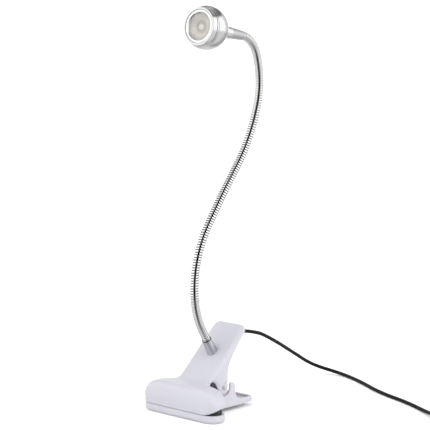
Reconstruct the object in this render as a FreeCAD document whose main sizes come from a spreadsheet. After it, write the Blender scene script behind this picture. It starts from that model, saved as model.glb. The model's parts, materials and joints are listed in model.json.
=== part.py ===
import FreeCAD, Part
import math
import os

import Sketcher
from FreeCAD import Placement, Rotation, Vector

# A clip-on reading lamp: a sprung two-jaw clip, a steel gooseneck and a ball-shaped LED head,
# with a cord that leaves the top of the upper lever and lies on the table.
# Row frame: +Z up, the nose of the jaws points to -Y, X runs along the jaws, and the origin is the
# middle of the flat underside of the lower jaw. Clip pieces are drawn in the "nose frame", whose
# origin is the nose itself, and placed with CLIP_PLACE.

doc = FreeCAD.newDocument("clip_on_reading_lamp")

DIMENSIONS = {
    "clip": {
        "nose_setback": 10.0,
        "jaw_width": 80.0,
        "jaw_depth": 19.0,
        "jaw_corner": 9.4,
        "lower_jaw_height": 6.5,
        "parting_height": 6.7,
        "parting_pitch": 12.0,
        "toe_height": 26.0,
        "toe_round": 8.0,
        "shell_wall": 2.0,
        "body_width": 35.2,
        "lever_pitch": 42.6,
        "lever_start_y": 15.4,
        "lever_start_z": 23.1,
        "lever_length": 67.5,
        "lever_wall": 2.0,
        "lever_corner": 7.0,
        "handle_end_y": 72.4,
        "handle_under": 3.6,
        "handle_wall": 2.0,
        "handle_top": 8.2,
        "handle_corner": 4.0,
        "pad_inset": 2.2,
        "pad_gap": 0.3,
        "pad_seat": 1.5,
        "keel_width": 3.0,
        "keel_end_y": 65.0,
    },
    "pivot": {
        "pivot_y": 37.5,
        "pivot_z": 20.0,
        "ear_radius": 6.0,
        "cradle_radius": 6.5,
        "lug_radius": 5.2,
        "lug_wall": 3.0,
        "lug_gap": 0.4,
        "pin_radius": 1.5,
        "bush_radius": 2.7,
        "coil_radius": 4.0,
        "coil_wire": 0.8,
        "coil_pitch": 1.9,
        "coil_turns": 5.0,
        "leg_length": 14.0,
    },
    "neck": {
        "hose_radius": 3.5,
        "hose_bore": 1.6,
        "core_radius": 1.1,
        "knuckle_gap": 0.3,
        "hose_foot_y": 35.2,
        "hose_foot_z": 57.4,
        "hose_foot_lean": -32.0,
        "run_one": 9.5, "turn_one": 1.0,
        "run_two": 34.0, "turn_two": 30.0,
        "run_three": 55.0, "turn_three": 35.5,
        "run_four": 53.5, "turn_four": 4.5,
        "run_five": 57.0, "turn_five": -22.5,
        "run_six": 28.0, "turn_six": -23.8,
        "run_seven": 14.8, "turn_seven": -10.7,
        "run_eight": 24.4, "turn_eight": -63.0,
        "knuckle_inset": 4.5,
        "foot_sleeve_length": 13.5,
        "foot_sleeve_base": 4.6,
        "foot_sleeve_tip": 3.8,
        "sleeve_wall_gap": 0.05,
        "stud_radius": 2.5,
        "stud_bore": 1.5,
        "nut_radius": 4.2,
        "nut_height": 2.0,
        "washer_radius": 4.2,
        "washer_height": 0.4,
    },
    "head": {
        "head_yaw": 5.0,
        "ball_radius": 17.4,
        "ball_wall": 1.6,
        "rim_radius": 14.9,
        "rim_front": 9.8,
        "rim_bore": 13.4,
        "bezel_radius": 13.1,
        "bezel_opening": 10.8,
        "bezel_front": 9.5,
        "lens_radius": 12.1,
        "collar_radius": 5.1,
        "collar_bore": 3.1,
        "collar_front": 16.3,
        "collar_rear": 30.0,
        "sleeve_rear": 46.7,
        "tail_rear": 36.2,
        "tail_front": 12.0,
        "sleeve_tip": 3.8,
        "board_radius": 11.0,
        "slug_radius": 15.3,
        "slug_height": 2.5,
        "led_side": 3.5,
        "wire_radius": 0.5,
    },
    "cord": {
        "cord_radius": 1.5,
        "outlet_z": 60.2,
        "outlet_y": 66.0,
        "outlet_dip": 8.0,
        "boss_radius": 3.9,
        "relief_base": 3.2,
        "relief_tip": 2.1,
        "relief_length": 14.0,
        "switch_length": 34.0,
        "switch_width": 13.0,
        "switch_height": 9.0,
        "button_length": 10.0,
        "button_width": 6.0,
        "button_rise": 1.5,
        "ring_radius": 16.5,
        "ring_width": 9.0,
        "ring_height": 8.4,
        "plug_length": 24.0,
        "plug_width": 15.0,
        "plug_height": 8.0,
        "tongue_length": 14.0,
        "tongue_width": 12.0,
        "tongue_height": 4.5,
    },
}

sheet = doc.addObject("Spreadsheet::Sheet", "dims")
sheet_row = 1
for group, cells in DIMENSIONS.items():
    sheet.set(f"A{sheet_row}", group)
    for alias, number in cells.items():
        sheet_row += 1
        sheet.set(f"A{sheet_row}", alias)
        sheet.set(f"B{sheet_row}", str(number))
        sheet.setAlias(f"B{sheet_row}", alias)
    sheet_row += 1
doc.recompute()

X_AXIS, Y_AXIS, Z_AXIS = Vector(1, 0, 0), Vector(0, 1, 0), Vector(0, 0, 1)
ORIGIN = Vector(0, 0, 0)


def dim(alias):
    """A driving dimension, read back from the sheet."""
    return float(sheet.get(alias))


def bind(item, **expressions):
    """Binds properties of an object to expressions over the sheet's cells."""
    for prop, expression in expressions.items():
        item.setExpression(prop, expression.replace("@", "dims."))
    return item


def place(item, base=ORIGIN, rotation=Rotation()):
    item.Placement = Placement(base, rotation)
    return item


def box(name, length, width, height, base=ORIGIN, rotation=Rotation()):
    item = bind(doc.addObject("Part::Box", name), Length=length, Width=width, Height=height)
    return place(item, base, rotation)


def cylinder(name, radius, height, base=ORIGIN, axis=Z_AXIS):
    item = bind(doc.addObject("Part::Cylinder", name), Radius=radius, Height=height)
    return place(item, base, Rotation(Z_AXIS, axis))


def sphere(name, radius, base=ORIGIN):
    return place(bind(doc.addObject("Part::Sphere", name), Radius=radius), base)


def boolean(kind, name, first, others):
    """Part::Cut takes others away one by one; the other kinds take them all at once."""
    if kind != "Cut":
        item = doc.addObject(f"Part::Multi{kind}", name)
        item.Shapes = [first, *others]
        return item
    for number, tool in enumerate(others):
        last = number == len(others) - 1
        item = doc.addObject("Part::Cut", name if last else f"{name}_cut_{number}")
        item.Base, item.Tool = first, tool
        first = item
    return item


def fillet_edges(name, base, choose, radius):
    """Rounds the edges of base for which choose(edge) is true."""
    doc.recompute()
    item = doc.addObject("Part::Fillet", name)
    item.Base = base
    chosen = [i + 1 for i, edge in enumerate(base.Shape.Edges) if choose(edge)]
    item.Edges = [(i, radius, radius) for i in chosen]
    return item


def origin_plane(body, role):
    return next(part for part in body.Origin.OriginFeatures if part.Role == role)


def outline(body, name, plane, corners):
    """A closed sketch whose corners are pairs of expressions."""
    sketch = body.newObject("Sketcher::SketchObject", name)
    sketch.AttachmentSupport = [(origin_plane(body, plane), "")]
    sketch.MapMode = "FlatFace"
    spots = []
    for number, corner in enumerate(corners):
        # starting places on a circle, so that no line has zero length before it is bound
        angle = 2 * math.pi * number / len(corners)
        spots.append(Vector(50 * math.cos(angle), 50 * math.sin(angle), 0))
    for number in range(len(corners)):
        following = spots[(number + 1) % len(corners)]
        sketch.addGeometry(Part.LineSegment(spots[number], following), False)
    for number in range(len(corners)):
        following = (number + 1) % len(corners)
        sketch.addConstraint(Sketcher.Constraint("Coincident", number, 2, following, 1))
    for number, corner in enumerate(corners):
        for kind, value, expression in zip(("DistanceX", "DistanceY"), spots[number], corner):
            index = sketch.addConstraint(Sketcher.Constraint(kind, -1, 1, number, 1, value))
            sketch.setExpression(f"Constraints[{index}]", str(expression).replace("@", "dims."))
    return sketch


def turned(name, corners, placement=None):
    """A lathe-turned piece: its half section in (radius, height) is revolved about local Z."""
    body = doc.addObject("PartDesign::Body", name)
    sketch = outline(body, name + "_section", "XZ_Plane", corners)
    turn = body.newObject("PartDesign::Revolution", name + "_turn")
    turn.Profile = sketch
    turn.ReferenceAxis = (sketch, ["V_Axis"])
    turn.Angle = 360
    body.Tip = turn
    if placement:
        body.Placement = placement
    return body


def padded(name, plane, corners, length, placement=None):
    """A sketch on an origin plane, padded to both sides alike."""
    body = doc.addObject("PartDesign::Body", name)
    sketch = outline(body, name + "_outline", plane, corners)
    pad = body.newObject("PartDesign::Pad", name + "_pad")
    pad.Profile = sketch
    pad.Midplane = True
    bind(pad, Length=length)
    body.Tip = pad
    if placement:
        body.Placement = placement
    return body


def feature(name, shape, placement=None):
    """A piece with a free-form path, shaped by Part's own functions from the sheet's sizes."""
    item = doc.addObject("Part::Feature", name)
    item.Shape = shape
    if placement:
        item.Placement = placement
    return item


parts = {}


def node(name, item, placement=None):
    """Names a finished sub-part, which gets a file of its own."""
    item.Label = name
    if placement:
        item.Placement = placement
    parts[name] = item
    return item


# ---------------------------------------------------------------- clip: shared places

CLIP_PLACE = Placement(Vector(0, -dim("nose_setback"), 0), Rotation())
LEVER_TURN = Rotation(X_AXIS, dim("lever_pitch"))
LEVER_ALONG = LEVER_TURN.multVec(Y_AXIS)
LEVER_OUT = LEVER_TURN.multVec(Z_AXIS)
LEVER_START = Vector(0, dim("lever_start_y"), dim("lever_start_z"))
PARTING_TURN = Rotation(X_AXIS, dim("parting_pitch"))
PIVOT = Vector(0, dim("pivot_y"), dim("pivot_z"))
WIDE = 200.0


def upright(edge):
    """True for a straight vertical edge."""
    ends = [vertex.Point for vertex in edge.Vertexes]
    if len(ends) != 2:
        return False
    step = ends[1] - ends[0]
    return abs(step.x) < 1e-6 and abs(step.y) < 1e-6 and step.z != 0


def all_at_height(height):
    """A chooser of edges that lie wholly at one height."""
    return lambda edge: abs(edge.BoundBox.ZMin - height) < 1e-6 and edge.BoundBox.ZLength < 1e-6


def jaw_block(name, inset, low, height, top_round=None):
    """A block with the jaws' long rounded outline, drawn in by inset, from low upwards."""
    width, depth = f"@jaw_width - 2 * {inset}", f"@jaw_depth - 2 * {inset}"
    gap = float(inset) if not inset.startswith("@") else dim(inset[1:])
    start = Vector(-dim("jaw_width") / 2 + gap, gap, low)
    block = box(name + "_block", width, depth, height, start)
    rounded = fillet_edges(name + "_plan", block, upright, dim("jaw_corner") - gap)
    if top_round is None:
        return rounded
    doc.recompute()
    return fillet_edges(name, rounded, all_at_height(rounded.Shape.BoundBox.ZMax), top_round)


def parting_cutter(name, lift, above):
    """A wide slab with one face on the sloping parting plane, lifted by lift, on one side of it."""
    size = 60.0
    start = Vector(-WIDE / 2, 0, dim("parting_height") + lift)
    back = PARTING_TURN.multVec(Vector(0, -size / 2, 0 if above else -size))
    return box(name, str(WIDE), str(2 * size), str(size), start + back, PARTING_TURN)


# ---------------------------------------------------------------- upper jaw and lever

toe_outer = jaw_block("toe_outer", "0", 2.0, "@toe_height - 2", dim("toe_round"))
toe_inner = jaw_block(
    "toe_inner", "@shell_wall", 2.0, "@toe_height - @shell_wall - 2", dim("toe_round") - 1.9
)
toe_shell = boolean("Cut", "toe_shell", toe_outer, [toe_inner])
toe_trimmed = boolean("Cut", "toe_trimmed", toe_shell, [parting_cutter("toe_cutter", 0, False)])
throat = box(
    "throat", "@body_width - 2 * @shell_wall", "7", "12",
    Vector(-dim("body_width") / 2 + dim("shell_wall"), 14.5, 8.6),
)
toe_open = boolean("Cut", "toe_open", toe_trimmed, [throat])

lever_plate = box(
    "lever_plate", "@body_width", "@lever_length", "@lever_wall",
    LEVER_START - LEVER_OUT * dim("lever_wall") - X_AXIS * (dim("body_width") / 2), LEVER_TURN,
)


def lever_end_edge(edge):
    """True for the two edges through the plate at the lever's free end."""
    middle = edge.BoundBox.Center
    along = (middle - LEVER_START).dot(LEVER_ALONG)
    return along > dim("lever_length") - 0.01 and edge.Length < dim("lever_wall") + 0.01


lever_rounded = fillet_edges("lever_rounded", lever_plate, lever_end_edge, dim("lever_corner"))

WALL_OUTLINE = [
    (17.0, 17.0), (17.0, 22.0), (63.0, 64.3), (64.6, 63.4), (62.6, 60.2), (57.6, 55.6), (54.4, 51.8),
    (51.0, 47.4), (47.9, 43.0), (44.9, 38.2), (43.6, 34.2), (42.8, 29.0), (41.8, 24.4),
    ("@pivot_y", "@pivot_z"), (32.6, 23.4), (29.6, 24.9), (25.1, 25.4), (21.4, 23.6), (19.0, 20.8),
]
walls = padded("lever_walls", "YZ_Plane", WALL_OUTLINE, "@body_width")
ears = cylinder(
    "ears", "@ear_radius", "@body_width", PIVOT - X_AXIS * (dim("body_width") / 2), X_AXIS
)
hollow = box(
    "wall_hollow", "@body_width - 2 * @shell_wall", "70", "80",
    Vector(-dim("body_width") / 2 + dim("shell_wall"), 12, 6),
)
walls_open = boolean("Cut", "walls_open", boolean("Fuse", "walls_ears", walls, [ears]), [hollow])
upper_solid = boolean("Fuse", "upper_solid", toe_open, [lever_rounded, walls_open])
pin_hole = cylinder(
    "upper_pin_hole", "@pin_radius", "@body_width + 2",
    PIVOT - X_AXIS * (dim("body_width") / 2 + 1), X_AXIS,
)

# ---------------------------------------------------------------- gooseneck centreline

RUN_NAMES = ["one", "two", "three", "four", "five", "six", "seven", "eight"]
FOOT = Vector(0, dim("hose_foot_y") - dim("nose_setback"), dim("hose_foot_z"))


def heading(angle):
    """The direction that leans by angle, in degrees, from +Z toward +Y."""
    turn = math.radians(angle)
    return Vector(0, math.sin(turn), math.cos(turn))


def hose_pieces():
    """The centreline as pieces: (start length, end length, start point, start lean, turn)."""
    pieces = []
    length, point, lean = 0.0, FOOT, dim("hose_foot_lean")
    for name in RUN_NAMES:
        run, turn = dim("run_" + name), dim("turn_" + name)
        pieces.append((length, length + run, point, lean, turn))
        point = hose_spot(pieces[-1], run)
        length, lean = length + run, lean + turn
    return pieces


def hose_spot(piece, along):
    """The point of one piece at a length along it."""
    start, end, point, lean, turn = piece
    swept = turn * along / (end - start)
    half = math.radians(swept / 2)
    chord = along * (math.sin(half) / half if abs(half) > 1e-9 else 1.0)
    return point + heading(lean + swept / 2) * chord


HOSE = hose_pieces()
HOSE_LENGTH = HOSE[-1][1]


def hose_at(length):
    """(point, direction) of the centreline, straight on beyond its two ends."""
    if length <= 0:
        return FOOT + heading(dim("hose_foot_lean")) * length, heading(dim("hose_foot_lean"))
    for piece in HOSE:
        start, end, point, lean, turn = piece
        if length <= end:
            along = length - start
            return hose_spot(piece, along), heading(lean + turn * along / (end - start))
    beyond = heading(HOSE[-1][3] + HOSE[-1][4])
    return hose_spot(HOSE[-1], HOSE[-1][1] - HOSE[-1][0]) + beyond * (length - HOSE_LENGTH), beyond


def hose_path(low, high):
    """The centreline between two lengths, as tangent arcs and straight ends in one wire."""
    stops = [low] + [p[1] for p in HOSE if low < p[1] < high]
    if low < 0 < high:
        stops.insert(1, 0.0)
    stops.append(high)
    edges = []
    for first, last in zip(stops, stops[1:]):
        a, b, c = hose_at(first)[0], hose_at((first + last) / 2)[0], hose_at(last)[0]
        bulge = ((a + c) * 0.5 - b).Length
        arc = Part.Arc(a, b, c) if bulge > 1e-4 else Part.LineSegment(a, c)
        edges.append(arc.toShape())
    return Part.Wire(edges)


def swept(path_wire, radius, point, direction):
    """A round bar of a radius along a wire that starts at point."""
    profile = Part.Wire([Part.Circle(point, direction, radius).toShape()])
    return path_wire.makePipeShell([profile], True, True)


def hose_bar(low, high, radius):
    point, direction = hose_at(low)
    return swept(hose_path(low, high), radius, point, direction)


KNUCKLES = [dim("knuckle_inset"), HOSE[1][1], HOSE[2][1], HOSE[3][1], HOSE[4][1], HOSE[5][1]]
KNUCKLES.append(HOSE_LENGTH - dim("knuckle_inset"))


def hose_segment(low, high, cup_below, dome_above):
    """A hollow length of hose. It ends in a dome at high and starts in a cup round low's dome."""
    radius, gap, bore = dim("hose_radius"), dim("knuckle_gap"), dim("hose_bore")
    solid = hose_bar(low, high, radius)
    if dome_above:
        solid = solid.fuse(Part.makeSphere(radius, hose_at(high)[0])).removeSplitter()
    if cup_below:
        solid = solid.cut(Part.makeSphere(radius + gap, hose_at(low)[0]))
    return solid.cut(hose_bar(low - 1, high + radius + 1, bore))


def hose_core(low, high):
    """The insulated conductors inside one length of hose."""
    reach = dim("hose_radius") + 2 * dim("knuckle_gap")
    return hose_bar(low + reach, high + dim("hose_radius") - dim("knuckle_gap"), dim("core_radius"))


node("hose_foot", feature("hose_foot", hose_segment(-10, KNUCKLES[0], False, True)))
for number, (low, high) in enumerate(zip(KNUCKLES, KNUCKLES[1:]), 1):
    node(f"hose_{number}", feature(f"hose_{number}", hose_segment(low, high, True, True)))
    node(f"hose_core_{number}", feature(f"hose_core_{number}", hose_core(low, high)))

# the head, its sleeve and the last winding are turned a little sideways at the top knuckle
HEAD_YAW = Rotation(Z_AXIS, dim("head_yaw"))
TOP_KNUCKLE = hose_at(KNUCKLES[-1])[0]
HOSE_END = HOSE_LENGTH + dim("sleeve_rear") - dim("tail_rear") - 0.1
node("hose_top", feature("hose_top", hose_segment(KNUCKLES[-1], HOSE_END, True, False)),
     Placement(TOP_KNUCKLE - HEAD_YAW.multVec(TOP_KNUCKLE), HEAD_YAW))

# ---------------------------------------------------------------- foot of the gooseneck

FOOT_UP = heading(dim("hose_foot_lean"))
FOOT_TURN = Rotation(Z_AXIS, FOOT_UP)
FOOT_FRAME = Placement(FOOT, FOOT_TURN)
sleeve_blank = turned("sleeve_blank", [
    ("@hose_radius + @sleeve_wall_gap", 0),
    ("@foot_sleeve_tip", 0),
    ("@foot_sleeve_base", "-@foot_sleeve_length"),
    ("@foot_sleeve_base", "-@foot_sleeve_length - 3"),
    ("@hose_radius + @sleeve_wall_gap", "-@foot_sleeve_length - 3"),
], FOOT_FRAME)
LEVER_ROW_START = LEVER_START + CLIP_PLACE.Base
lever_block = box("lever_block", "40", "90", "20",
                  LEVER_ROW_START - LEVER_OUT * 20 - X_AXIS * 20, LEVER_TURN)
node("neck_foot_sleeve", boolean("Cut", "neck_foot_sleeve", sleeve_blank, [lever_block]))
node("neck_seal_ring", turned("neck_seal_ring", [
    ("@hose_radius + @sleeve_wall_gap", 0),
    ("@foot_sleeve_tip + 0.1", 0),
    ("@foot_sleeve_tip + 0.1", 0.8),
    ("@hose_radius + @sleeve_wall_gap", 0.8),
], FOOT_FRAME))

# the stud stands square to the lever, where the sleeve's axis meets the lever's surface
TO_ROW = CLIP_PLACE.Base
reach_down = (LEVER_ROW_START - FOOT).dot(LEVER_OUT) / FOOT_UP.dot(LEVER_OUT)
STUD_SPOT = FOOT + FOOT_UP * reach_down
STUD_FRAME = Placement(STUD_SPOT, LEVER_TURN)
node("neck_stud", turned("neck_stud", [
    ("@stud_bore", "-@lever_wall - @washer_height - @nut_height - 0.2"),
    ("@stud_radius", "-@lever_wall - @washer_height - @nut_height - 0.2"),
    ("@stud_radius", 1.2),
    ("@stud_bore", 1.2),
], STUD_FRAME))
node("stud_washer", turned("stud_washer", [
    ("@stud_radius", "-@lever_wall"),
    ("@washer_radius", "-@lever_wall"),
    ("@washer_radius", "-@lever_wall - @washer_height"),
    ("@stud_radius", "-@lever_wall - @washer_height"),
], STUD_FRAME))


def hexagon(name, circle, height, bore, frame, depth):
    """A hexagon nut whose top face lies depth below its frame's origin."""
    prism = bind(doc.addObject("Part::Prism", name + "_prism"), Circumradius=circle, Height=height)
    prism.Polygon = 6
    hole = cylinder(name + "_hole", bore, height)
    nut = boolean("Cut", name, prism, [hole])
    drop = frame.Rotation.multVec(Vector(0, 0, -depth - dim(height.strip("@"))))
    return node(name, nut, Placement(frame.Base + drop, frame.Rotation))


hexagon("stud_nut", "@nut_radius", "@nut_height", "@stud_radius", STUD_FRAME,
        dim("lever_wall") + dim("washer_height"))

stud_hole = cylinder(
    "stud_hole", "@stud_radius", "20", STUD_SPOT - TO_ROW - LEVER_OUT * 10, LEVER_OUT
)
upper = boolean("Cut", "upper_jaw_shell", upper_solid, [pin_hole, stud_hole])
node("upper_jaw_shell", upper, CLIP_PLACE)

# ---------------------------------------------------------------- jaw pads

upper_pad = jaw_block("upper_pad_blank", "@pad_inset", 3.0, "14")
pad_top = parting_cutter("upper_pad_top", dim("pad_seat"), True)
pad_face = parting_cutter("upper_pad_face", 0, False)
PAD_SLOPE = Rotation(X_AXIS, dim("parting_pitch") / 2)


def half_slope(name, lift, above):
    """As parting_cutter, on the plane half way between the two jaws' faces."""
    size = 60.0
    start = Vector(-WIDE / 2, 0, dim("lower_jaw_height") + lift)
    back = PAD_SLOPE.multVec(Vector(0, -size / 2, 0 if above else -size))
    return box(name, str(WIDE), str(2 * size), str(size), start + back, PAD_SLOPE)


half_gap = dim("pad_gap") / 2
upper_pad = boolean("Cut", "upper_jaw_pad", upper_pad, [
    pad_top, half_slope("upper_pad_gap", 0.1 + half_gap, False)])
node("upper_jaw_pad", upper_pad, CLIP_PLACE)
lower_pad = jaw_block(
    "lower_pad_blank", "@pad_inset", dim("lower_jaw_height") - dim("pad_seat"), "8")
lower_pad = boolean("Cut", "lower_jaw_pad", lower_pad, [
    half_slope("lower_pad_gap", 0.1 - half_gap, True)])
node("lower_jaw_pad", lower_pad, CLIP_PLACE)

# ---------------------------------------------------------------- lower jaw and handle

jaw_plate = jaw_block("jaw_plate", "0", 0.0, "@lower_jaw_height")
pad_recess = jaw_block(
    "pad_recess", "@pad_inset", dim("lower_jaw_height") - dim("pad_seat"), "@pad_seat + 1")

HALF_BODY = dim("body_width") / 2
handle = box(
    "handle_blank", "@body_width", "@handle_end_y - 17", "@handle_top - @handle_under",
    Vector(-HALF_BODY, 17, dim("handle_under")),
)


def handle_end_edge(edge):
    return upright(edge) and edge.BoundBox.YMin > dim("handle_end_y") - 0.01


handle_round = fillet_edges("handle_round", handle, handle_end_edge, dim("handle_corner"))
handle_scoop = box(
    "handle_scoop", "@body_width - 2 * @handle_wall", "@handle_end_y - 19 - 2 * @handle_wall", "5",
    Vector(-HALF_BODY + dim("handle_wall"), 19 + dim("handle_wall"),
           dim("handle_under") + dim("handle_wall")),
)
handle_tray = boolean("Cut", "handle_tray", handle_round, [handle_scoop])
SIDE_OUTLINE = [
    (19.4, "@handle_under"), (58.0, "@handle_under"), (58.0, "@handle_top"), (54.0, 9.2),
    (50.6, 12.4), (48.4, 18.0), (46.6, 20.8), (44.0, 20.8), ("@pivot_y", 20.8), (31.0, 19.4),
    (26.0, 19.8), (21.2, 19.4), (19.4, 17.6),
]
sides = padded("lower_sides", "YZ_Plane", SIDE_OUTLINE, "@body_width")
side_hollow = box(
    "side_hollow", "@body_width - 2 * @handle_wall", "60", "30",
    Vector(-HALF_BODY + dim("handle_wall"), 15, dim("handle_under") + dim("handle_wall")),
)
cradle = cylinder(
    "cradle", "@cradle_radius", "@body_width + 2", PIVOT - X_AXIS * (HALF_BODY + 1), X_AXIS
)
side_walls = boolean("Cut", "side_walls", sides, [side_hollow, cradle])
bridge = box(
    "bridge", "@body_width - 2 * @handle_wall", "6", "@lower_jaw_height - @handle_under",
    Vector(-HALF_BODY + dim("handle_wall"), 16, dim("handle_under")),
)
keel = padded("keel_rib", "YZ_Plane", [
    (17.0, 0), ("@keel_end_y - 3", 0), ("@keel_end_y", 1.5), ("@keel_end_y", "@handle_under + 0.5"),
    (17.0, "@handle_under + 0.5"),
], "@keel_width")
LUG_OUT = HALF_BODY - dim("shell_wall") - dim("lug_gap")
lugs = []
for side, start in (("left", -LUG_OUT), ("right", LUG_OUT - dim("lug_wall"))):
    round_top = cylinder(f"lug_{side}_top", "@lug_radius", "@lug_wall",
                         PIVOT + X_AXIS * start, X_AXIS)
    stem = box(f"lug_{side}_stem", "@lug_wall", "2 * @lug_radius", "@pivot_z - @handle_under - 1",
               Vector(start, dim("pivot_y") - dim("lug_radius"), dim("handle_under") + 1))
    lugs += [round_top, stem]
lower_solid = boolean("Fuse", "lower_solid", jaw_plate, [handle_tray, side_walls, bridge, keel, *lugs])
lug_hole = cylinder(
    "lug_hole", "@pin_radius + 0.1", "@body_width", PIVOT - X_AXIS * HALF_BODY, X_AXIS
)
lower = boolean("Cut", "lower_jaw_shell", lower_solid, [pad_recess, lug_hole])
node("lower_jaw_shell", lower, CLIP_PLACE)

# ---------------------------------------------------------------- pivot pin, bush and spring

PIN_START = PIVOT + TO_ROW - X_AXIS * (HALF_BODY - 0.3)
node("pivot_pin", cylinder("pivot_pin", "@pin_radius", "@body_width - 0.6", PIN_START, X_AXIS))
bush_outer = cylinder("bush_outer", "@bush_radius", "2 * (@body_width / 2 - @shell_wall - 4)")
bush_inner = cylinder("bush_inner", "@pin_radius", "2 * (@body_width / 2 - @shell_wall - 4)")
bush = boolean("Cut", "spring_bush", bush_outer, [bush_inner])
BUSH_HALF = HALF_BODY - dim("shell_wall") - 4
node("spring_bush", bush,
     Placement(PIVOT + TO_ROW - X_AXIS * BUSH_HALF, Rotation(Z_AXIS, X_AXIS)))


def torsion_spring():
    """A close coil round the bush, with a straight leg under each lever."""
    radius, wire = dim("coil_radius"), dim("coil_wire")
    pitch, turns = dim("coil_pitch"), dim("coil_turns")
    helix = Part.makeHelix(pitch, pitch * turns, radius)
    start = Vector(radius, 0, 0)
    profile = Part.Wire([Part.Circle(start, Y_AXIS, wire).toShape()])
    coil = Part.Wire(helix).makePipeShell([profile], True, True)
    first = Part.makeCylinder(wire, dim("leg_length"), start, Vector(0, -1, 0))
    last = Part.makeCylinder(wire, dim("leg_length"), start + Z_AXIS * (pitch * turns), Y_AXIS)
    return coil.fuse([first, last])


COIL_HALF = dim("coil_pitch") * dim("coil_turns") / 2
spring_turn = Rotation(X_AXIS, 143).multiply(Rotation(Z_AXIS, X_AXIS))
node("torsion_spring", feature("torsion_spring", torsion_spring(),
     Placement(PIVOT + TO_ROW - X_AXIS * COIL_HALF, spring_turn)))

# ---------------------------------------------------------------- back cover of the lever

COVER_OUTLINE = [
    (44.9, 38.2), (47.9, 43.0), (51.0, 47.4), (54.4, 51.8), (57.6, 55.6), (62.6, 60.2),
    (61.9, 61.0), (56.9, 56.3), (53.6, 52.4), (50.2, 48.0), (47.1, 43.6), (44.1, 38.8),
]
cover_plate = padded("cover_plate", "YZ_Plane", COVER_OUTLINE, "@body_width - 2 * @shell_wall - 0.2")
OUTLET = Vector(0, dim("outlet_y"), dim("outlet_z"))
OUTLET_TURN = Rotation(X_AXIS, -dim("outlet_dip"))
OUTWARD = OUTLET_TURN.multVec(Y_AXIS)
BOSS_LENGTH = 9.0
cover_boss = cylinder("cover_boss", "@boss_radius", str(BOSS_LENGTH),
                      OUTLET - OUTWARD * BOSS_LENGTH, OUTWARD)
# a slab just under the lever's inner face keeps the boss clear of it
boss_trim = box("boss_trim", "40", "40", "40",
                LEVER_START - LEVER_OUT * (dim("lever_wall") + 0.9) + LEVER_ALONG * 30 - X_AXIS * 20,
                LEVER_TURN)
boss_below = boolean("Cut", "boss_below", cover_boss, [boss_trim])
boss_bore = cylinder("boss_bore", "@cord_radius", str(2 * BOSS_LENGTH),
                     OUTLET - OUTWARD * (1.5 * BOSS_LENGTH), OUTWARD)
cover = boolean("Cut", "lever_back_cover",
                boolean("Fuse", "cover_with_boss", cover_plate, [boss_below]), [boss_bore])
node("lever_back_cover", cover, CLIP_PLACE)

# ---------------------------------------------------------------- head, drawn about the ball's centre

HEAD_OUT = HEAD_YAW.multVec(hose_at(HOSE_LENGTH + 1)[1])
BALL = hose_at(HOSE_LENGTH + dim("sleeve_rear"))[0] - TOP_KNUCKLE
BALL = TOP_KNUCKLE + HEAD_YAW.multVec(BALL)
HEAD_FRAME = Placement(BALL, Rotation(Z_AXIS, HEAD_OUT))
ball = sphere("ball", "@ball_radius")
front_trim = cylinder("front_trim", "@ball_radius + 1", "@ball_radius", Z_AXIS * 8.4)
ball_trimmed = boolean("Cut", "ball_trimmed", ball, [front_trim])
rim = cylinder("rim", "@rim_radius", "@rim_front - 6", Z_AXIS * 6)
ball_rim = boolean("Fuse", "ball_rim", ball_trimmed, [rim])
ball_hollow = sphere("ball_hollow", "@ball_radius - @ball_wall")
hollow_trim = cylinder("hollow_trim", "@ball_radius", "@ball_radius", Z_AXIS * 6.2)
hollow_body = boolean("Cut", "hollow_body", ball_hollow, [hollow_trim])
rim_hole = cylinder("rim_hole", "@rim_bore", "@rim_front", Z_AXIS * 6.0)
rear_flat = cylinder("rear_flat", "@collar_radius + 0.1", "5",
                     Z_AXIS * (-dim("collar_front") - 5))
rear_hole = cylinder("rear_hole", "@collar_bore + 0.6", "12", Z_AXIS * -22)
housing_tools = [hollow_body, rim_hole, rear_flat, rear_hole]
for number, depth in enumerate((6.4, 5.0)):
    groove = doc.addObject("Part::Torus", f"groove_{number}")
    bind(groove, Radius1=f"sqrt(@ball_radius ^ 2 - {depth} ^ 2)", Radius2="0.28")
    groove.Placement.Base = Z_AXIS * depth
    housing_tools.append(groove)
housing = boolean("Cut", "head_housing", ball_rim, housing_tools)
node("head_housing", housing, HEAD_FRAME)

node("front_bezel", turned("front_bezel", [
    ("@bezel_opening", 8.7), ("@bezel_opening + 0.5", "@bezel_front"),
    ("@bezel_radius", "@bezel_front"), ("@bezel_radius", 6.4), ("@lens_radius + 0.1", 6.4),
    ("@lens_radius + 0.1", 8.7),
], HEAD_FRAME))
node("lens", cylinder("lens", "@lens_radius", "1.1"),
     Placement(HEAD_FRAME.multVec(Z_AXIS * 7.6), HEAD_FRAME.Rotation))
node("lens_gasket", turned("lens_gasket", [
    ("@lens_radius - 0.5", 7.2), ("@lens_radius", 7.2), ("@lens_radius", 7.6),
    ("@lens_radius - 0.5", 7.6),
], HEAD_FRAME))
node("reflector", turned("reflector", [
    (2.6, 0.4), (3.2, 0.4), (11.5, 6.6), (11.5, 7.5), (10.9, 7.5), (10.9, 6.9), (2.6, 0.9),
], HEAD_FRAME))
board_hole = cylinder("board_hole", "1.2", "2", Vector(0, 5, -1))
node("led_board", boolean("Cut", "led_board", cylinder("board_disc", "@board_radius", "1.2"),
     [board_hole]), Placement(HEAD_FRAME.multVec(Z_AXIS * -0.8), HEAD_FRAME.Rotation))
chip_corner = Vector(-dim("led_side") / 2, -dim("led_side") / 2, 0.4)
node("led_chip", box("led_chip", "@led_side", "@led_side", "0.8"),
     Placement(HEAD_FRAME.multVec(chip_corner), HEAD_FRAME.Rotation))
slug_hole = cylinder("slug_hole", "2", "6", Vector(0, 5, -1))
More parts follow.
